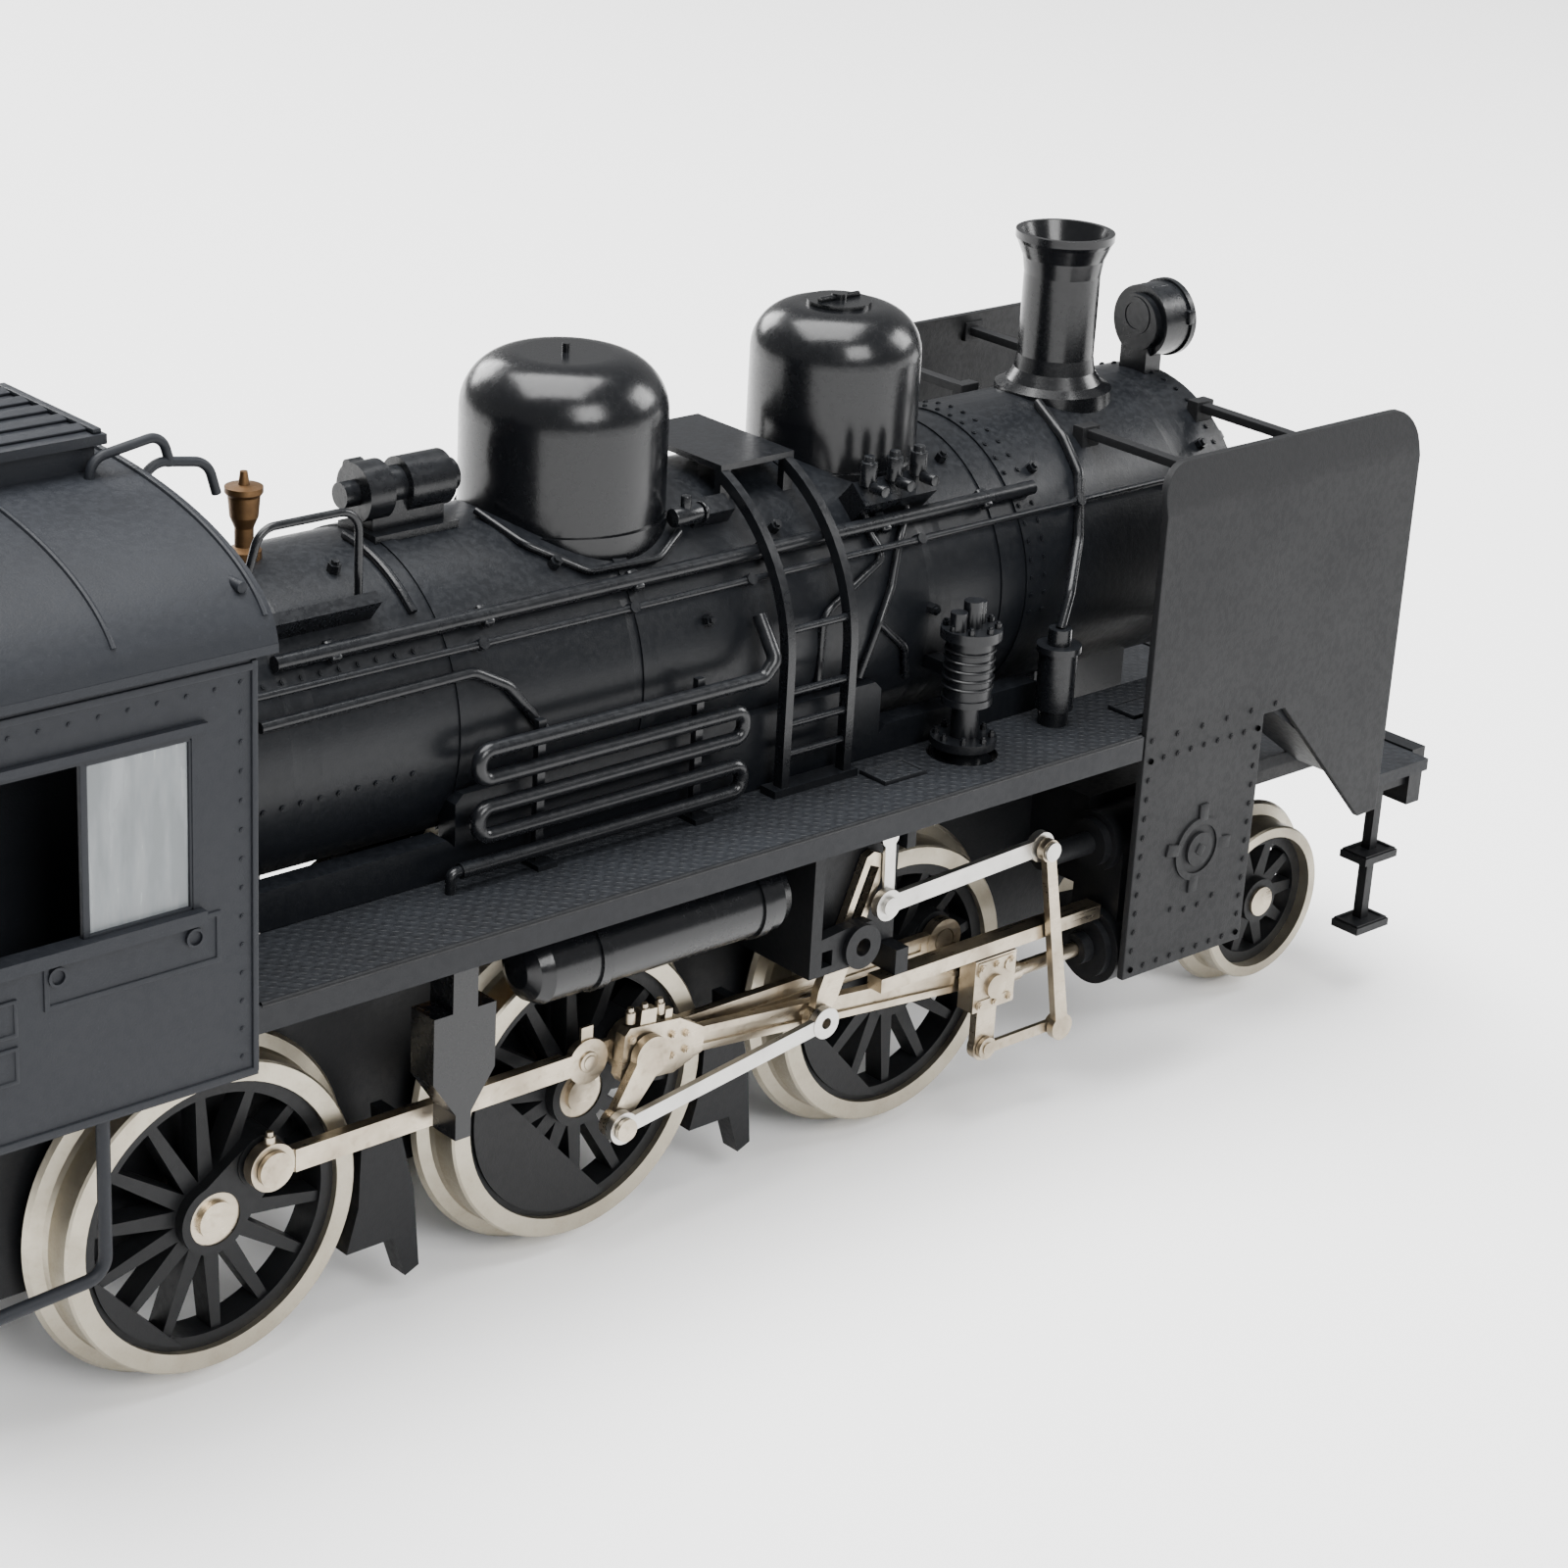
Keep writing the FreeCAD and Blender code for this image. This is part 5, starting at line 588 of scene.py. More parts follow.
    def soften(self, piece: bpy.types.Object, width: float, steps: int = 2,
               angle: float = SMOOTH_BELOW) -> bpy.types.Object:
        """Round the piece's edges by a width in millimetres.

        Args:
            piece: the mesh to work on.
            width: width of the rounding, in millimetres.
            steps: number of faces across the rounding.
            angle: edges sharper than this are rounded, in degrees.

        Returns:
            The same piece.
        """
        self.pick(piece)
        modifier = piece.modifiers.new("edges", "BEVEL")
        modifier.width = width * MM
        modifier.segments = steps
        modifier.limit_method = "ANGLE"
        modifier.angle_limit = math.radians(angle)
        bpy.ops.object.modifier_apply(modifier=modifier.name)
        return piece

    def step(self, piece: bpy.types.Object, test: Callable[[bpy.types.MeshPolygon], bool], inset: float,
             lift: Vector) -> bpy.types.Object:
        """Inset the chosen faces and move them, as when a step is turned on a blank.

        Args:
            piece: the blank.
            test: picks the faces.
            inset: width left round them, in millimetres.
            lift: how far they move, in millimetres.

        Returns:
            The same piece.
        """
        with self.editing(piece):
            self.choose(piece, test)
            bpy.ops.mesh.inset(thickness=inset * MM)
            bpy.ops.mesh.extrude_region_move(TRANSFORM_OT_translate={"value": tuple(lift * MM)})
        return piece

    def spread(self, name: str, pattern: bpy.types.Object, places: Sequence[Matrix]) -> bpy.types.Object:
        """Copies of a pattern piece, each with its own mesh, joined into one piece.

        Args:
            name: the joined piece's name.
            pattern: modelled about the world's origin.
            places: where each copy goes.

        Returns:
            The joined piece. The pattern itself is removed.
        """
        copies = []
        for place in places:
            twin = pattern.copy()
            twin.data = pattern.data.copy()
            bpy.context.collection.objects.link(twin)
            twin.data.transform(place)
            copies.append(twin)
        bpy.data.objects.remove(pattern)
        return self.join(name, copies)

    def join(self, name: str, pieces: Sequence[bpy.types.Object]) -> bpy.types.Object:
        """Join pieces into one.

        Args:
            name: name given to what is made.
            pieces: the pieces, of which the first keeps its place as the active one.

        Returns:
            The joined piece.
        """
        self.clear()
        for piece in pieces:
            piece.select_set(True)
        bpy.context.view_layer.objects.active = pieces[0]
        if len(pieces) > 1:
            bpy.ops.object.join()
        pieces[0].name = name
        return pieces[0]

    def tube(self, name: str, radius: float, points: Sequence[Vector], sides: int = 3) -> bpy.types.Object:
        """Round wire through points, made from a bevelled curve and turned into a mesh.

        Args:
            name: name given to what is made.
            radius: in millimetres.
            points: the wire's path, in metres.
            sides: fineness of the round section.

        Returns:
            The wire's mesh.
        """
        self.clear()
        line = bpy.data.curves.new(name, "CURVE")
        line.dimensions, line.bevel_depth, line.bevel_resolution = "3D", radius * MM, sides
        line.use_fill_caps, line.resolution_u = True, 8
        run = line.splines.new("NURBS")
        run.points.add(len(points) - 1)
        for spot, point in zip(run.points, points):
            spot.co = (*point, 1.0)
        run.order_u, run.use_endpoint_u = 3, True
        wire = bpy.data.objects.new(name, line)
        bpy.context.collection.objects.link(wire)
        self.pick(wire)
        bpy.ops.object.convert(target="MESH")
        return bpy.context.object

    def fit(self, piece: bpy.types.Object, name: str, body: str, finish: str,
            record_slot: str) -> bpy.types.Object:
        """Name, smooth, paint and mount a finished piece.

        Args:
            piece: the modelled piece.
            name: its name in the table of pieces.
            body: the body that it rides on.
            finish: key of the finish.
            record_slot: the record's material slot; not used.

        Returns:
            The fitted piece.
        """
        self.settle(piece)
        piece.name = name
        piece.data.name = name
        bpy.ops.object.shade_smooth_by_angle(angle=math.radians(SMOOTH_BELOW))
        even = piece.modifiers.new("even_shading", "WEIGHTED_NORMAL")
        even.keep_sharp = True
        bpy.ops.object.modifier_apply(modifier=even.name)
        piece.data.materials.clear()
        piece.data.materials.append(self.materials[finish])
        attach(piece, body)
        self.made += 1
        LOG.info("fitted %s on %s, %d faces", name, body, len(piece.data.polygons))
        return piece

    def rivet(self, radius: float = 0.2, height: float = 0.12) -> bpy.types.Object:
        """Domed rivet head standing on +Z at the world's origin, a flattened drum with its crown drawn in.

        Args:
            radius: in millimetres.
            height: in millimetres.

        Returns:
            The rivet head.
        """
        self.clear()
        bpy.ops.mesh.primitive_cylinder_add(vertices=RIVET_SIDES, radius=radius * MM, depth=height * MM,
                                            location=(0, 0, height * MM / 2))
        head = self.settle(bpy.context.object)
        top = height * MM * 0.9
        return self.step(head, lambda face: face.center.z > top, radius * 0.45, Vector((0, 0, height * 0.35)))

    def hex_nut(self, across_flats: float, height: float) -> bpy.types.Object:
        """Hexagon nut with a stud end, standing on +Z at the world's origin.

        Args:
            across_flats: in millimetres.
            height: in millimetres.

        Returns:
            The nut.
        """
        self.clear()
        bpy.ops.mesh.primitive_cylinder_add(vertices=NUT_SIDES, radius=across_flats * MM / HEX_CORNERS,
                                            depth=height * MM, location=(0, 0, height * MM / 2))
        nut = self.settle(bpy.context.object)
        top = height * MM * 0.9
        return self.step(nut, lambda face: face.center.z > top, across_flats * 0.2,
                         Vector((0, 0, height * 0.4)))


def looking(direction: Point) -> Callable[[bpy.types.MeshPolygon], bool]:
    """Test that picks the faces which look along a direction."""
    return lambda face: face.normal.dot(Vector(direction)) > SQUARE_ON


def facing(point: Vector, normal: Vector) -> Matrix:
    """Placement that stands +Z along a normal at a point."""
    return Matrix.Translation(point) @ normal.to_track_quat("Z", "Y").to_matrix().to_4x4()


def arc(centre: tuple[float, float], radius: float, start: float, end: float,
        count: int) -> list[tuple[float, float]]:
    """Points along an arc in the side view, angles in degrees.

    Args:
        centre: (x, z) in millimetres.
        radius: in millimetres.
        start: first angle.
        end: last angle.
        count: number of steps.

    Returns:
        (x, z) points in millimetres, in order.
    """
    return [(centre[0] + radius * math.cos(math.radians(start + (end - start) * i / count)),
             centre[1] + radius * math.sin(math.radians(start + (end - start) * i / count)))
            for i in range(count + 1)]


def along(first: Vector, last: Vector, pitch: float) -> list[Vector]:
    """Evenly spaced points between two places, about a pitch in millimetres apart."""
    count = max(1, round((last - first).length / (pitch * MM)))
    return [first.lerp(last, i / count) for i in range(count + 1)]


# ------------------------------------------------------------------ sub-assemblies

@dataclass
class Deflectors:
    """Smoke deflector plates with folded tops, cylinder covers below them, and flat stays to the smokebox."""

    bench: Bench
    back: float = 61.4
    ahead: float = 84.4
    top: float = 40.2
    fold: float = 37.2
    lean: float = 13.0
    corner: float = 2.2
    board: float = 22.65
    cover_ahead: float = 72.1
    cover_low: float = 7.5
    inner: float = 15.5
    thick: float = 0.5
    relief_x: float = 67.1
    relief_z: float = 14.95
    stay_stations: tuple[float, float] = (65.5, 75.7)

    def outline(self) -> list[tuple[float, float]]:
        """Side view of one plate, round its edge.

        Returns:
            (x, z) points in millimetres, in order.
        """
        r = self.corner
        return [(self.back, self.cover_low), (self.cover_ahead, self.cover_low),
                (self.cover_ahead, self.board), (self.cover_ahead + 1.9, self.board), (self.ahead - 1.8, 13.3), (self.ahead, 13.4),
                *arc((self.ahead - r, self.top - r), r, 0, 90, 7),
                *arc((self.back + r, self.top - r), r, 90, 180, 7)]

    def plate(self, side: int) -> bpy.types.Object:
        """One plate, folded inwards along its top, with a thin rolled edge.

        Args:
            side: which side of the engine, RIGHT or LEFT.

        Returns:
            The mesh, not yet mounted on a body.
        """
        low_y = self.inner if side == LEFT else -self.inner - self.thick
        sheet = self.bench.outline(self.outline(), self.thick, low_y)
        fold_z = self.bench.datum.at(0, 0, self.fold).z
        with self.bench.editing(sheet):
            bpy.ops.mesh.select_all(action="SELECT")
            bpy.ops.mesh.bisect(plane_co=(0, 0, fold_z), plane_no=(0, 0, 1))
        slope = math.tan(math.radians(self.lean))
        for vertex in sheet.data.vertices:
            vertex.co.y -= side * max(0.0, vertex.co.z - fold_z) * slope
        return self.bench.soften(sheet, 0.09, 2)

    def stays(self, side: int) -> list[bpy.types.Object]:
        """Flat bars from the smokebox to the plate's fold.

        Args:
            side: which side of the engine, RIGHT or LEFT.

        Returns:
            The bars, feet and clips.
        """
        datum, bars = self.bench.datum, []
        for x in self.stay_stations:
            inner, outer, z = 5.2, self.inner - 0.1, self.top - 1.25
            centre = datum.at(x, side * (inner + outer) / 2, z)
            bar = self.bench.block((0.8, outer - inner, 0.55), centre)
            foot = self.bench.block((1.5, 0.9, 1.5), datum.at(x, side * (inner + 0.05), z - 0.3))
            clip = self.bench.block((1.6, 0.5, 1.3), datum.at(x, side * (outer - 0.3), z))
            bars += [self.bench.soften(piece, 0.08) for piece in (bar, foot, clip)]
        return bars

    def relief(self, side: int) -> bpy.types.Object:
        """Round cylinder cover pressed in the lower plate: two stepped rings round a cross of four lugs.

        Args:
            side: which side of the engine, RIGHT or LEFT.

        Returns:
            The mesh, not yet mounted on a body.
        """
        bench, datum = self.bench, self.bench.datum
        face_y = side * (self.inner + self.thick)
        x, z = self.relief_x, self.relief_z
        ring = bench.drum(2.05, 0.2, datum.at(x, face_y + side * 0.05, z), "Y", 40)
        bench.step(ring, looking((0, side, 0)), 0.45, Vector((0, -side * 0.12, 0)))
        bench.step(ring, lambda face: looking((0, side, 0))(face) and len(face.vertices) > 8, 0.5,
                   Vector((0, side * 0.22, 0)))
        lugs = [bench.soften(bench.block((1.15, 0.22, 0.8), datum.at(x + dx, face_y + side * 0.06, z + dz),
                                         (0, math.radians(turn), 0)), 0.09)
                for dx, dz, turn in ((-2.3, 0.4, 12), (2.3, -0.1, 8), (0.2, 2.35, 88), (-0.2, -2.3, 92))]
        hub = bench.soften(bench.block((0.7, 0.4, 0.7), datum.at(x, face_y + side * 0.16, z), (0, 0.6, 0)),
                           0.12)
        return bench.join("relief", [ring, hub, *lugs])

    def rivets(self, side: int) -> bpy.types.Object:
        """Rivets round the cylinder cover and along the running board's flange.

        Args:
            side: which side of the engine, RIGHT or LEFT.

        Returns:
            The mesh, not yet mounted on a body.
        """
        datum = self.bench.datum
        y = side * (self.inner + self.thick - 0.01)
        left, right = self.back + 0.6, self.cover_ahead - 0.5
        low, high = self.cover_low + 0.6, self.board - 0.8
        corners = [datum.at(x, y, z) for x, z in ((left, high), (right, high), (right, low), (left, low))]
        spots = [spot for first, last in zip(corners, corners[1:] + corners[:1])
                 for spot in along(first, last, 1.25)]
        spots += along(datum.at(self.back + 0.6, y, self.board + 0.5),
                       datum.at(self.cover_ahead + 1, y, self.board + 0.5), 2.4)
        below = ((-1.9, 0), (-0.6, -0.3), (0.6, -0.3), (1.9, 0))
        spots += [datum.at(self.relief_x + dx, y, 11.3 + dz) for dx, dz in below]
        normal = Vector((0, side, 0))
        return self.bench.spread("rivets", self.bench.rivet(0.19, 0.1),
                                 [facing(spot, normal) for spot in spots])

    def build(self) -> None:
        """Make and fit both sides in place of the plain plates."""
        for side, word in ((RIGHT, "right"), (LEFT, "left")):
            plate = self.bench.join("plate", [self.plate(side), *self.stays(side)])
            fitted = self.bench.fit(plate, f"deflector_plate_{word}", "engine", "plate", "plate_grey")
            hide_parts("smoke_deflectors")
            self.bench.fit(self.relief(side), f"cylinder_cover_{word}", "engine", "plate", "plate_grey")
            self.bench.fit(self.rivets(side), f"cover_rivets_{word}", "engine", "plate", "plate_grey")


@dataclass
class BoilerDetail:
    """Rivet rows, washout plugs, band clips and small valves on the boiler and smokebox."""

    bench: Bench
    smokebox_rings: tuple[float, ...] = (57.9, 59.0, 75.6)
    ring_pitch: int = 7
    row_pitch: float = 1.15

    def ring_rivets(self) -> bpy.types.Object:
        """Rings of rivets round the smokebox and short rows on the firebox.

        Returns:
            The mesh, not yet mounted on a body.
        """
        datum, places = self.bench.datum, []
        for x in self.smokebox_rings:
            for clock in range(-8, 189, self.ring_pitch):
                places.append(facing(datum.on_boiler(x, clock, 0.11), self.outward(clock)))
        for flip in (1, -1):
            for clock, start, end in ((33.5, 0.2, 15.2), (20.0, 0.2, 15.2), (56.0, 3.0, 14.6),
                                      (-8.0, 0.4, 14.6)):
                for i in range(int((end - start) / self.row_pitch)):
                    angle = clock if flip == 1 else 180 - clock
                    spot = datum.on_boiler(start + i * self.row_pitch, angle, 0.0)
                    places.append(facing(spot, self.outward(angle)))
        return self.bench.spread("boiler_rivets", self.bench.rivet(0.17, 0.1), places)

    @staticmethod
    def outward(clock: float) -> Vector:
        """Outward normal of the boiler's skin at a clock angle."""
        return Vector((0, -math.cos(math.radians(clock)), math.sin(math.radians(clock))))

    def plugs(self) -> bpy.types.Object:
        """Washout plugs and clack valves: small nuts standing on the skin.

        Returns:
            The mesh, not yet mounted on a body.
        """
        datum = self.bench.datum
        places = [facing(datum.on_boiler(x, clock, 0.0), self.outward(clock)) for x, clock in (
            (39.6, 47), (60.0, 47), (49.7, 4), (33.0, 20), (74.2, 41), (12.0, 70), (24.5, 52), (54.0, 60),
            (39.6, 133), (60.0, 133), (33.0, 160), (20.0, 150))]
        return self.bench.spread("plugs", self.bench.hex_nut(0.62, 0.5), places)

    def clips(self) -> bpy.types.Object:
        """Rounded clips that hold the long pipe beside the handrail.

        Returns:
            The mesh, not yet mounted on a body.
        """
        datum, clips = self.bench.datum, []
        for x in (9.0, 18.6, 28.7, 38.0, 46.9, 55.0):
            clip = self.bench.block((0.7, 0.55, 1.25), datum.on_boiler(x, 39, 0.45),
                                    (math.radians(-51), 0, 0))
            clips.append(self.bench.soften(clip, 0.16, 3))
        return self.bench.join("clips", clips)

    def sand_valve(self) -> bpy.types.Object:
        """Three little valve bodies with unions on the sanding block.

        Returns:
            The mesh, not yet mounted on a body.
        """
        datum, parts = self.bench.datum, []
        for x in (45.9, 47.9, 49.8):
            body = self.bench.drum(0.5, 1.4, datum.on_boiler(x, 52, 2.4), "Z", 16)
            self.bench.step(body, looking((0, 0, 1)), 0.16, Vector((0, 0, 0.35)))
            union = self.bench.drum(0.34, 1.1, datum.on_boiler(x, 46, 2.5), "Y", 12)
            parts += [self.bench.soften(body, 0.07), self.bench.soften(union, 0.06)]
        return self.bench.join("sand_valve", parts)

    def strap(self) -> bpy.types.Object:
        """Curved rain strap over the boiler's shoulder, ahead of the firebox.

        Returns:
            The mesh, not yet mounted on a body.
        """
        datum = self.bench.datum
        points = [datum.on_boiler(14.6 + 0.02 * i, 88 - i * 6, 0.2) for i in range(8)]
        return self.bench.tube("strap", 0.24, points)

    def dome_valve(self) -> bpy.types.Object:
        """Small union with a wheel, at the end of the pipe round the rear dome.

        Returns:
            The mesh, not yet mounted on a body.
        """
        datum = self.bench.datum
        spot = datum.on_boiler(33.6, 56, 1.0)
        body = self.bench.drum(0.55, 1.9, spot, "X", 16)
        wheel = self.bench.drum(0.62, 0.22, spot + Vector((1.15 * MM, 0, 0)), "X", 20)
        stem = self.bench.drum(0.3, 1.3, spot + Vector((0, 0, 0.5 * MM)), "Z", 12)
        for piece in (body, wheel, stem):
            self.bench.soften(piece, 0.08)
        return self.bench.join("dome_valve", [body, wheel, stem])

    def build(self) -> None:
        """Make and fit every boiler detail."""
        fit = self.bench.fit
        fit(self.ring_rivets(), "boiler_rivets", "engine", "boiler", "boiler_black")
        fit(self.plugs(), "washout_plugs", "engine", "pipe", "boiler_black")
        fit(self.clips(), "pipe_clips", "engine", "pipe", "boiler_black")
        fit(self.sand_valve(), "sand_valves", "engine", "pipe", "boiler_black")
        fit(self.strap(), "rain_strap", "engine", "pipe", "boiler_black")
        fit(self.dome_valve(), "dome_valve", "engine", "pipe", "boiler_black")


@dataclass
class CabTrim:
    """Window frames, panels, rivets and roof fittings on the cab."""

    bench: Bench
    face: float = 16.0
    window: tuple[float, float, float, float] = (-15.5, -4.9, 29.7, 38.4)

    def window_frame(self, side: int) -> bpy.types.Object:
        """Thin raised frame round the fixed pane.

        Args:
            side: which side of the engine, RIGHT or LEFT.

        Returns:
            The mesh, not yet mounted on a body.
        """
        x0, x1, z0, z1 = -10.6, self.window[1] + 0.15, self.window[2] - 0.1, self.window[3] + 0.1
        y, datum, bars = side * (self.face - 0.22), self.bench.datum, []
        for size, centre in (((0.4, 0.34, z1 - z0), (x0, (z0 + z1) / 2)),
                             ((0.4, 0.34, z1 - z0), (x1 - 0.1, (z0 + z1) / 2)),
                             ((x1 - x0, 0.34, 0.35), ((x0 + x1) / 2, z1 - 0.1)),
                             ((x1 - x0, 0.34, 0.35), ((x0 + x1) / 2, z0 + 0.1))):
            bar = self.bench.block(size, datum.at(centre[0], y, centre[1]))
            bars.append(self.bench.soften(bar, 0.08))
        return self.bench.join("window_frame", bars)

    def side_panel(self, side: int) -> bpy.types.Object:
        """Blank number-plate frame below the window, with two round bosses, and small hatches behind it.

        Args:
            side: which side of the engine, RIGHT or LEFT.

        Returns:
            The mesh, not yet mounted on a body.
        """
        bench, datum, parts = self.bench, self.bench.datum, []
        y = side * (self.face + 0.02)
        plate = bench.block((9.6, 0.16, 2.7), datum.at(-8.2, y, 28.0))
        bench.step(plate, looking((0, side, 0)), 0.28, Vector((0, -side * 0.14, 0)))
        parts.append(bench.soften(plate, 0.05))
        for x in (-12.3, -4.9):
            boss = bench.drum(0.5, 0.3, datum.at(x, side * (self.face + 0.05), 28.3), "Y", 24)
            bench.step(boss, looking((0, side, 0)), 0.14, Vector((0, -side * 0.16, 0)))
            parts.append(boss)
        for z in (24.4, 26.8):
            hatch = bench.block((1.6, 0.2, 1.9), datum.at(-15.2, y, z))
            bench.step(hatch, looking((0, side, 0)), 0.2, Vector((0, -side * 0.1, 0)))
            parts.append(bench.soften(hatch, 0.05))
        beading = bench.block((0.35, 0.25, 21.4), datum.at(-1.5, y, 30.9))
        parts.append(bench.soften(beading, 0.08))
        for z in (20.3, 41.3):
            strip = bench.block((17.6, 0.24, 0.4), datum.at(-10.2, y, z))
            parts.append(bench.soften(strip, 0.08))
        return bench.join("side_panel", parts)

    def cab_rivets(self, side: int) -> bpy.types.Object:
        """Rivets down the cab's front corner and under the gutter.

        Args:
            side: which side of the engine, RIGHT or LEFT.

        Returns:
            The mesh, not yet mounted on a body.
        """
        datum, y = self.bench.datum, side * (self.face - 0.01)
        spots = along(datum.at(-2.2, y, 21.2), datum.at(-2.2, y, 40.6), 1.5)
        spots += along(datum.at(-17.5, y, 40.5), datum.at(-3.6, y, 40.5), 1.5)
        normal = Vector((0, side, 0))
        return self.bench.spread("cab_rivets", self.bench.rivet(0.13, 0.07),
                                 [facing(spot, normal) for spot in spots])

    def vent(self) -> bpy.types.Object:
        """Slatted lid of the roof vent.

        Returns:
            The mesh, not yet mounted on a body.
        """
        datum, slats = self.bench.datum, []
        for i in range(5):
            slat = self.bench.block((9.4, 0.8, 0.16), datum.at(-7.4, -3.5 + i * 1.75, 49.73),
                                    (math.radians(7), 0, 0))
            slats.append(self.bench.soften(slat, 0.07))
        for x in (-12.4, -2.6):
            rail = self.bench.block((0.5, 9.0, 0.26), datum.at(x, 0, 49.73))
            slats.append(self.bench.soften(rail, 0.08))
        return self.bench.join("vent", slats)

    def roof_seams(self) -> bpy.types.Object:
        """Narrow cover strips over the roof's joints, following its curve, and a lamp iron by the gutter.

        Returns:
            The mesh, not yet mounted on a body.
        """
        datum, strips = self.bench.datum, []
        half, eave, peak, power = 16.6, 41.9, 47.9, 2.15
        for x in (-0.9, -9.0, -17.2):
            points = []
            for i in range(3, 34):
                lean = math.pi * i / 36
                y = math.copysign(abs(math.cos(lean)) ** (2 / power), math.cos(lean)) * half
                points.append(datum.at(x, y * 0.998,
                                       eave + (peak - eave) * math.sin(lean) ** (2 / power) + 0.02))
            strips.append(self.bench.tube("strip", 0.16, points, 2))
        for side in (RIGHT, LEFT):
            peg = self.bench.drum(0.3, 1.2, datum.at(-1.6, side * 14.7, 44.9), "Y", 16)
            strips.append(self.bench.soften(peg, 0.08))
        return self.bench.join("roof_seams", strips)

    def build(self) -> None:
        """Make and fit the cab's trim."""
        for side, word in ((RIGHT, "right"), (LEFT, "left")):
            self.bench.fit(self.window_frame(side), f"window_frame_{word}", "engine", "cab", "plate_grey")
            self.bench.fit(self.side_panel(side), f"side_panel_{word}", "engine", "cab", "plate_grey")
            self.bench.fit(self.cab_rivets(side), f"cab_rivets_{word}", "engine", "cab", "plate_grey")
        self.bench.fit(self.vent(), "roof_vent", "engine", "roof", "boiler_black")
        self.bench.fit(self.roof_seams(), "roof_seams", "engine", "roof", "boiler_black")


@dataclass
class BoardDetail:
    """Cover plates, edge angle and brackets on the running boards."""

    bench: Bench
    top: float = 23.6

    def covers(self) -> bpy.types.Object:
        """Square cover plates with a turned-down rim, on both boards.

        Returns:
            The mesh, not yet mounted on a body.
        """
        bench, datum, parts = self.bench, self.bench.datum, []
        for x, y in ((44.8, -11.7), (64.4, -12.6), (44.8, 11.7), (30.0, 11.9), (64.4, 12.6), (12.0, 12.4)):
            plate = bench.block((3.3, 2.2, 0.3), datum.at(x, y, self.top + 0.12))
            bench.step(plate, looking((0, 0, 1)), 0.24, Vector((0, 0, -0.1)))
            parts.append(bench.soften(plate, 0.06))
        return bench.join("covers", parts)

    def edges(self) -> bpy.types.Object:
        """Half-round beading along both boards' outer edges.

        Returns:
            The mesh, not yet mounted on a body.
        """
        bench, datum = self.bench, self.bench.datum
        beads = [bench.tube("bead", 0.16, along(datum.at(-1.1, side * 15.9, self.top),
                                                datum.at(61.0, side * 15.9, self.top), 20))
                 for side in (RIGHT, LEFT)]
        return bench.join("edges", beads)

    def brackets(self) -> bpy.types.Object:
        """Gusset brackets under the boards, from the valance to the boiler side.

        Returns:
            The mesh, not yet mounted on a body.
        """
        bench, datum, parts = self.bench, self.bench.datum, []
        for side in (RIGHT, LEFT):
            for x in (3.5, 15.8, 36.2, 57.5):
                web = bench.block((0.4, 5.6, 1.4), datum.at(x, side * 12.4, 22.3))
                parts.append(bench.soften(web, 0.08))
        return bench.join("brackets", parts)

    def build(self) -> None:
        """Make and fit the boards' details."""
        self.bench.fit(self.covers(), "board_covers", "engine", "board", "boiler_black")
        self.bench.fit(self.edges(), "board_edges", "engine", "frame", "black_frame")
        self.bench.fit(self.brackets(), "board_brackets", "engine", "frame", "black_frame")


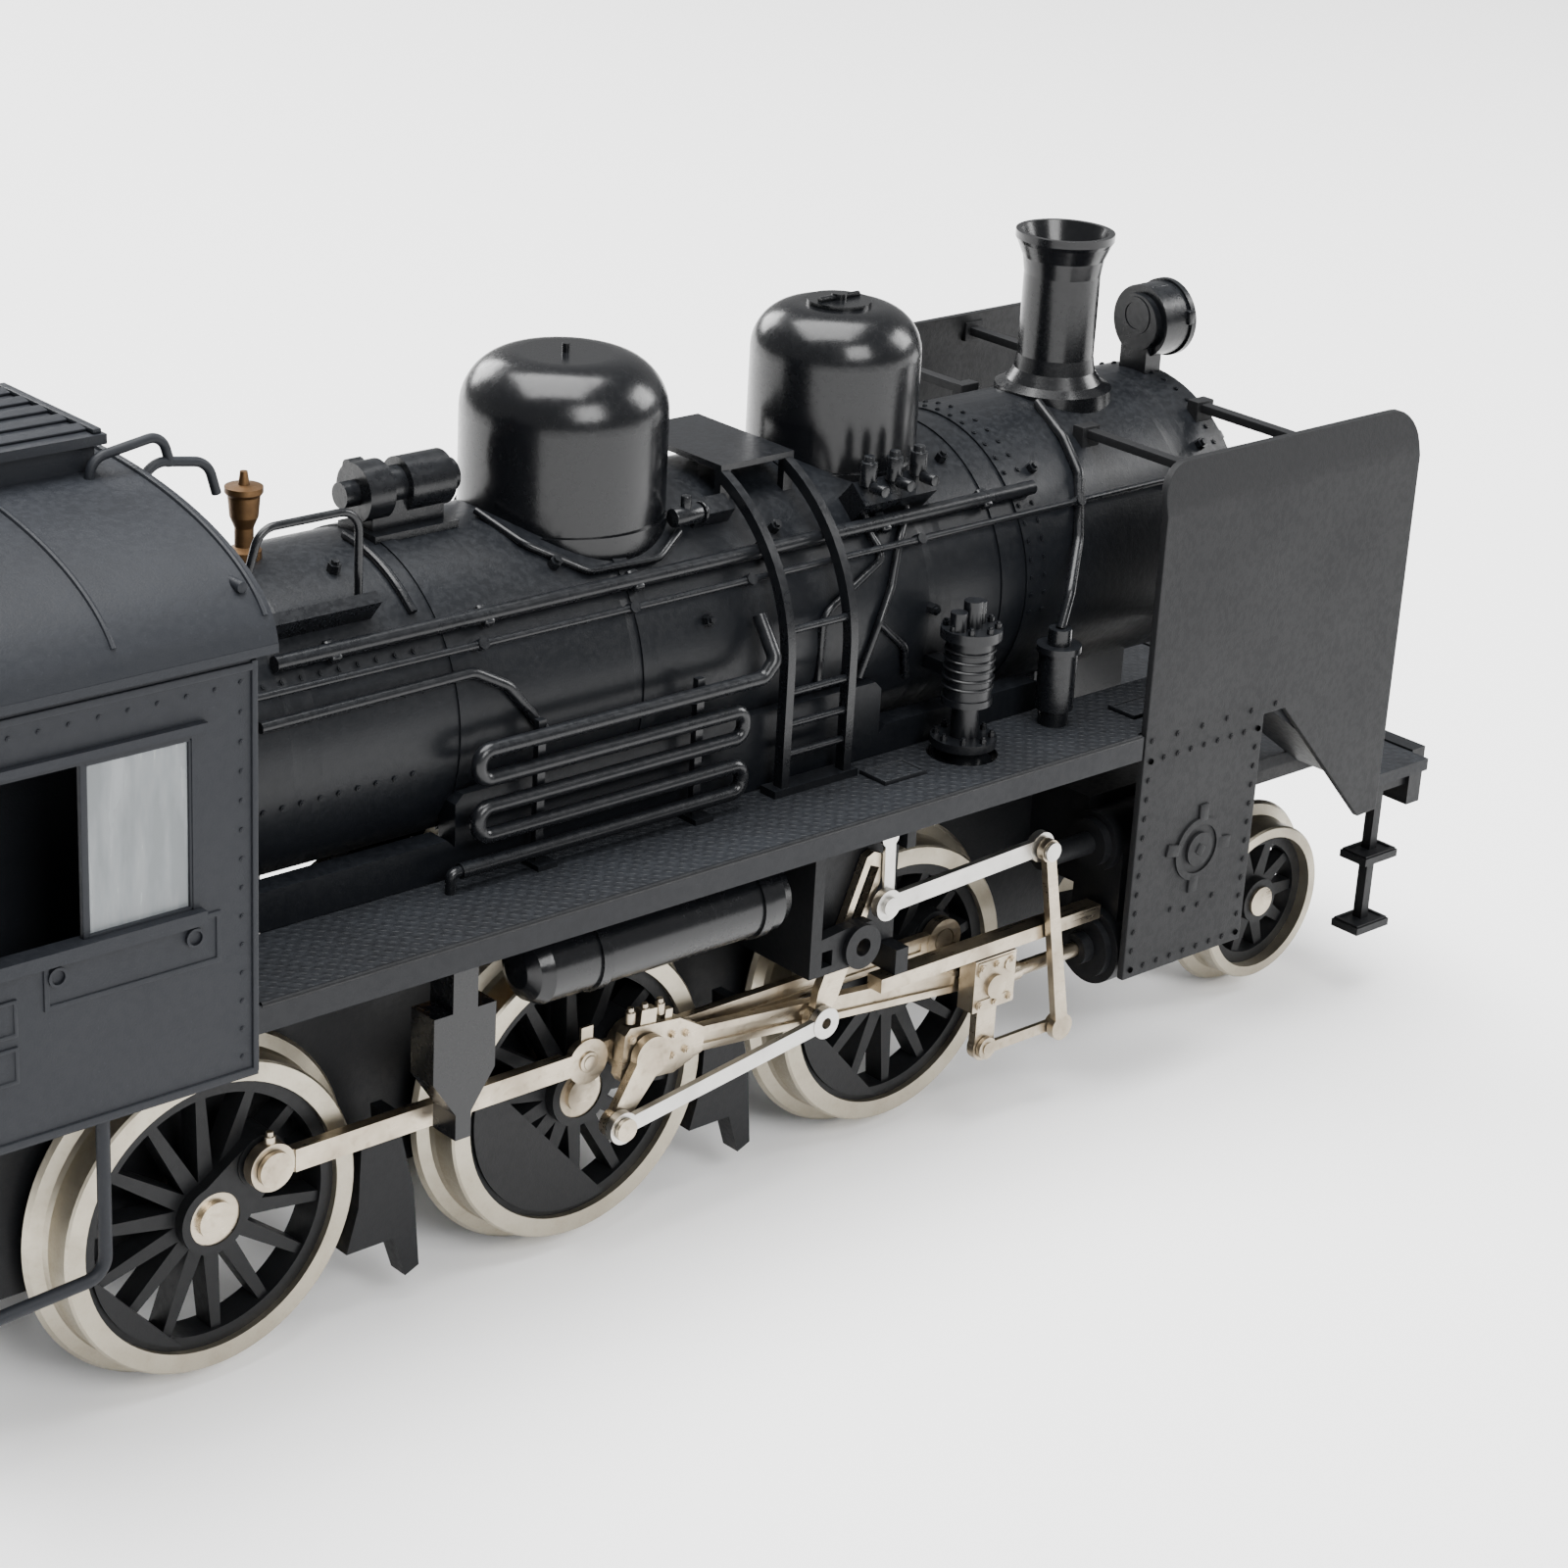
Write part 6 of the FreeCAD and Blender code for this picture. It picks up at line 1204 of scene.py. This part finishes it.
@dataclass
class RodFittings:
    """Nuts, washers and oil cups on the rods and crossheads."""

    bench: Bench

    def joint_place(self, name: str) -> Vector:
        """Place of a joint in the record."""
        joint = next(j for j in frame["record"]["behaviour"]["joints"] if j["name"] == name)
        return Vector(joint.get("pos_m", (0, 0, 0)))

    def oil_cup(self, place: Vector, height: float = 1.0) -> bpy.types.Object:
        """Little turned oil cup with a domed lid, standing at a place.

        Args:
            place: foot of the cup, in metres.
            height: in millimetres.

        Returns:
            The mesh, not yet mounted on a body.
        """
        cup = self.bench.drum(0.3, height, place + Vector((0, 0, height * MM / 2)), "Z", 14)
        self.bench.step(cup, looking((0, 0, 1)), 0.1, Vector((0, 0, 0.25)))
        return self.bench.soften(cup, 0.05)

    def rods(self, side: int, word: str) -> None:
        """Oil cups and strap bolts on one side's coupling and main rods.

        Args:
            side: which side of the engine, RIGHT or LEFT.
            word: that side's name, right or left.
        """
        bench = self.bench
        crank = self.joint_place(f"main_rod_{word}_turn")
        normal = Vector((0, side, 0))
        rod_low, rod_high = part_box(f"main_rod_{word}")
        face_y = rod_high[1] if side == LEFT else rod_low[1]
        nuts = [facing(Vector((crank.x + dx * MM, face_y, crank.z + dz * MM)), normal)
                for dx, dz in ((1.9, 0.55), (1.9, -0.75), (2.9, 0.35), (2.9, -0.65),
                               (-1.1, 1.1), (-1.1, -1.1))]
        bolts = bench.spread("bolts", bench.hex_nut(0.42, 0.2), nuts)
        middle_y = (rod_low[1] + rod_high[1]) / 2
        cups = [self.oil_cup(Vector((crank.x + dx * MM, middle_y, crank.z + 1.9 * MM)), 0.7)
                for dx in (-0.9, 0.1, 1.2)]
        bench.fit(bench.join("cups", [bolts, *cups]), f"main_rod_fittings_{word}", f"main_rod_{word}",
                  "nickel", "nickel")

        low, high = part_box(f"coupling_rods_{word}")
        outer = high[1] if side == LEFT else low[1]
        knuckle = crank.x - 3.3 * MM
        ring = bench.drum(0.62, 0.2, Vector((knuckle, outer + side * 0.03 * MM, crank.z)), "Y", 24)
        bench.step(ring, looking((0, side, 0)), 0.2, Vector((0, side * 0.08, 0)))
        cup = self.oil_cup(Vector((low[0] + 1.35 * MM, (low[1] + high[1]) / 2, crank.z + 1.2 * MM)), 0.55)
        bench.fit(bench.join("ring", [bench.soften(ring, 0.04), cup]), f"coupling_fittings_{word}",
                  f"coupling_rods_{word}", "nickel", "nickel")

    def crosshead(self, side: int, word: str) -> None:
        """Cover plate, a lower plate and bolts on one crosshead.

        Args:
            side: which side of the engine, RIGHT or LEFT.
            word: that side's name, right or left.
        """
        bench = self.bench
        low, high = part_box(f"crosshead_{word}")
        face_y = side * 13.68 * MM
        normal = Vector((0, side, 0))
        block_x, block_z = low[0] + 1.7 * MM, high[2] - 1.95 * MM
        places = [facing(Vector((block_x + dx * MM, face_y, block_z + dz * MM)), normal)
                  for dx in (-1.25, 0.0, 1.25) for dz in (-1.0, 1.45)]
        bolts = bench.spread("bolts", bench.hex_nut(0.46, 0.2), places)
        plate = bench.block((3.0, 0.16, 0.75),
                            Vector((block_x, face_y - side * 0.02 * MM, block_z + 1.45 * MM)))
        lower = bench.block((2.7, 0.16, 0.6),
                            Vector((block_x, face_y - side * 0.02 * MM, block_z - 1.0 * MM)))
        pieces = [bolts, bench.soften(plate, 0.05), bench.soften(lower, 0.05)]
        bench.fit(bench.join("crosshead_bolts", pieces), f"crosshead_bolts_{word}", f"crosshead_{word}",
                  "nickel", "nickel")

    def build(self) -> None:
        """Make and fit both sides."""
        for side, word in ((RIGHT, "right"), (LEFT, "left")):
            self.rods(side, word)
            self.crosshead(side, word)


@dataclass
class FrontEnd:
    """Smokebox door furniture, lamp rims, pump head and beam bolts."""

    bench: Bench
    front: float = 77.4
    pump_x: float = 50.4
    pump_y: float = -11.6

    def door(self) -> bpy.types.Object:
        """Dogs round the smokebox door, the twin handles and a grab rail.

        Returns:
            The mesh, not yet mounted on a body.
        """
        bench, datum, parts = self.bench, self.bench.datum, []
        front, crown_z = self.front, datum.boiler_z + 4.6
        for i in range(12):
            angle = math.radians(i * 30 + 15)
            reach = datum.boiler_r - 1.3
            spot = datum.at(front - 0.2, reach * math.cos(angle), datum.boiler_z + reach * math.sin(angle))
            dog = bench.block((0.5, 1.5, 0.6), spot, (angle, 0, 0))
            parts.append(bench.soften(dog, 0.1))
        for lean in (0.5, -0.9):
            handle = bench.block((0.3, 0.32, 2.6), datum.at(front + 1.5, 0.9 * lean, datum.boiler_z - 0.6),
                                 (lean, 0, 0))
            parts.append(bench.soften(handle, 0.1))
        rail = [datum.at(front + 0.9, -4.4 + i * 1.1, crown_z) for i in range(9)]
        parts.append(bench.tube("rail", 0.17, rail))
        for y in (-4.2, 4.2):
            post = bench.drum(0.22, 1.2, datum.at(front + 0.45, y, crown_z), "X", 12)
            parts.append(bench.soften(post, 0.05))
        return bench.join("door_dogs", parts)

    def lamp(self) -> bpy.types.Object:
        """Vent cowl, hinge and wing nuts on the headlight.

        Returns:
            The mesh, not yet mounted on a body.
        """
        bench, datum, parts = self.bench, self.bench.datum, []
        low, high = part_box("headlight")
        centre = Vector(((low[0] + high[0]) / 2, 0, (low[2] + high[2]) / 2 + 0.8 * MM))
        cowl = bench.block((1.5, 1.2, 0.35), Vector((centre.x, 0, high[2] - 0.35 * MM)))
        parts.append(bench.soften(cowl, 0.12, 3))
        for side in (RIGHT, LEFT):
            lug = bench.block((0.6, 0.5, 0.9), Vector((high[0] - 0.4 * MM, side * 2.2 * MM, centre.z)))
            parts.append(bench.soften(lug, 0.1))
        bezel = bench.drum(1.2, 0.25, Vector((low[0] + 0.06 * MM, 0, centre.z - 0.05 * MM)), "X", 28)
        bench.step(bezel, looking((-1, 0, 0)), 0.35, Vector((0.12, 0, 0)))
        parts.append(bezel)
        return bench.join("lamp_trim", parts)

    def pump(self) -> bpy.types.Object:
        """Bolts round the pump's flanges, and fins between them.

        Returns:
            The mesh, not yet mounted on a body.
        """
        bench, datum = self.bench, self.bench.datum
        places = []
        for radius, z in ((1.5, 31.4), (1.62, 24.7)):
            for i in range(8):
                angle = i * math.pi / 4
                spot = datum.at(self.pump_x + radius * math.cos(angle),
                                self.pump_y + radius * math.sin(angle), z)
                places.append(facing(spot, Vector((0, 0, 1))))
        bolts = bench.spread("pump_bolts", bench.hex_nut(0.36, 0.3), places)
        fins = []
        for i in range(5):
            fin = bench.drum(1.52, 0.16, datum.at(self.pump_x, self.pump_y, 27.9 + i * 0.55), "Z", 32)
            fins.append(bench.soften(fin, 0.05, 1))
        return bench.join("pump_detail", [bolts, *fins])

    def beam(self) -> bpy.types.Object:
        """Bolt heads on the buffer beam and treads on its steps.

        Returns:
            The mesh, not yet mounted on a body.
        """
        bench, datum = self.bench, self.bench.datum
        normal = Vector((1, 0, 0))
        spots = [datum.at(91.49, y, z) for y in (-12.6, -9.6, -6.0, 6.0, 9.6, 12.6) for z in (12.6, 14.5)]
        bolts = bench.spread("beam_bolts", bench.hex_nut(0.5, 0.25), [facing(spot, normal) for spot in spots])
        treads = []
        for side in (RIGHT, LEFT):
            for z in (3.95, 8.95):
                tread = bench.block((3.0, 2.0, 0.16), datum.at(87.5, side * 13.5, z))
                bench.step(tread, looking((0, 0, 1)), 0.25, Vector((0, 0, -0.08)))
                treads.append(tread)
        return bench.join("beam_detail", [bolts, *treads])

    def build(self) -> None:
        """Make and fit the front end's details."""
        fit = self.bench.fit
        fit(self.door(), "door_furniture", "engine", "pipe", "boiler_black")
        fit(self.lamp(), "lamp_trim", "engine", "pipe", "boiler_black")
        fit(self.pump(), "pump_detail", "engine", "pipe", "boiler_black")
        fit(self.beam(), "beam_detail", "engine", "frame", "black_frame")


# ------------------------------------------------------------------ studio

@dataclass(frozen=True)
class Camera:
    """Long lens, above and ahead of the cab's right-hand side."""

    place: Point = (-0.1221, -0.1461, 0.1017)
    azimuth: float = -42.8
    elevation: float = 22.47
    roll: float = 3.32
    lens: float = 81.9

    def build(self) -> None:
        """Make the scene's camera."""
        azimuth, elevation, roll = (math.radians(a) for a in (self.azimuth, self.elevation, self.roll))
        ahead = Vector((-math.sin(azimuth) * math.cos(elevation), math.cos(azimuth) * math.cos(elevation),
                        -math.sin(elevation)))
        right = ahead.cross(Vector((0, 0, 1))).normalized()
        up = right.cross(ahead)
        tilted = right * math.cos(roll) + up * math.sin(roll)
        crown = up * math.cos(roll) - right * math.sin(roll)
        data = bpy.data.cameras.new("display_camera")
        data.lens, data.sensor_width = self.lens, 36.0
        data.clip_start, data.clip_end = 0.005, 20.0
        camera = bpy.data.objects.new("display_camera", data)
        turn = Matrix((tilted, crown, -ahead)).transposed().to_4x4()
        camera.matrix_world = Matrix.Translation(self.place) @ turn
        bpy.context.collection.objects.link(camera)
        bpy.context.scene.camera = camera


@dataclass(frozen=True)
class Studio:
    """Pale floor and soft boxes round the model."""

    floor_size: float = 6.0
    sky: float = 0.42

    def build(self) -> None:
        """Make the floor, the world's light and the lamps."""
        bpy.ops.object.select_all(action="DESELECT")
        bpy.ops.mesh.primitive_plane_add(size=self.floor_size, location=(0, 0, -0.0001))
        floor = bpy.context.object
        floor.name = "studio_floor"
        g = Graph("floor_paper")
        tone = g.noise(3.0, 2.0).between(0.3, 0.7)
        g.feed(g.surface.inputs["Base Color"],
               g.blend(tone * 0.1, (0.92, 0.92, 0.92, 1.0), (0.86, 0.86, 0.86, 1.0)))
        g.surface.inputs["Roughness"].default_value = 0.85
        floor.data.materials.append(g.material)
        world = bpy.data.worlds.new("studio")
        world.use_nodes = True
        world.node_tree.nodes["Background"].inputs[0].default_value = (1.0, 1.0, 1.0, 1.0)
        world.node_tree.nodes["Background"].inputs[1].default_value = self.sky
        bpy.context.scene.world = world
        self.lamp("top_box", (-0.05, 0.05, 0.60), (0.0, 0.0, 0.0), 0.55, 13.0)
        self.lamp("side_box", (-0.10, -0.62, 0.42), (0.0, 0.0, 0.03), 0.35, 6.0)
        self.lamp("front_box", (0.62, -0.20, 0.32), (0.0, 0.0, 0.03), 0.3, 4.0)
        self.lamp("back_box", (0.05, 0.65, 0.30), (0.0, 0.0, 0.03), 0.3, 4.0)

    @staticmethod
    def lamp(name: str, place: Point, target: Point, size: float, power: float) -> None:
        """Square soft box aimed at a target.

        Args:
            name: name given to what is made.
            place: in metres.
            target: the point it looks at, in metres.
            size: edge of the square, in metres.
            power: in watts.
        """
        data = bpy.data.lights.new(name, "AREA")
        data.energy, data.size = power, size
        lamp = bpy.data.objects.new(name, data)
        lamp.location = place
        lamp.rotation_euler = (Vector(target) - Vector(place)).to_track_quat("-Z", "Y").to_euler()
        bpy.context.collection.objects.link(lamp)


def dress(bench: Bench) -> None:
    """Give every machined node its finish.

    Args:
        bench: holds the finishes and makes the pieces.
    """
    for name, piece in frame["nodes"].items():
        for slot in piece.material_slots:
            slot.material = bench.materials[finish_for(name)]


def corners(box: tuple[Vector, Vector]) -> list[list[float]]:
    """Box as plain lists."""
    return [[float(value) for value in corner] for corner in box]


def main() -> None:
    """Dress the frame, build the fittings and light the set."""
    logging.basicConfig(level=logging.INFO, format="%(name)s: %(message)s")
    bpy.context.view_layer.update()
    bench = Bench(Datum())
    Camera().build()
    dress(bench)
    for assembly in (Deflectors(bench), BoilerDetail(bench), CabTrim(bench),
                     BoardDetail(bench), RodFittings(bench), FrontEnd(bench)):
        assembly.build()
        LOG.info("built %s", type(assembly).__name__)
    Studio().build()
    LOG.info("%d fitted pieces", bench.made)


if __name__ == "__main__":
    main()
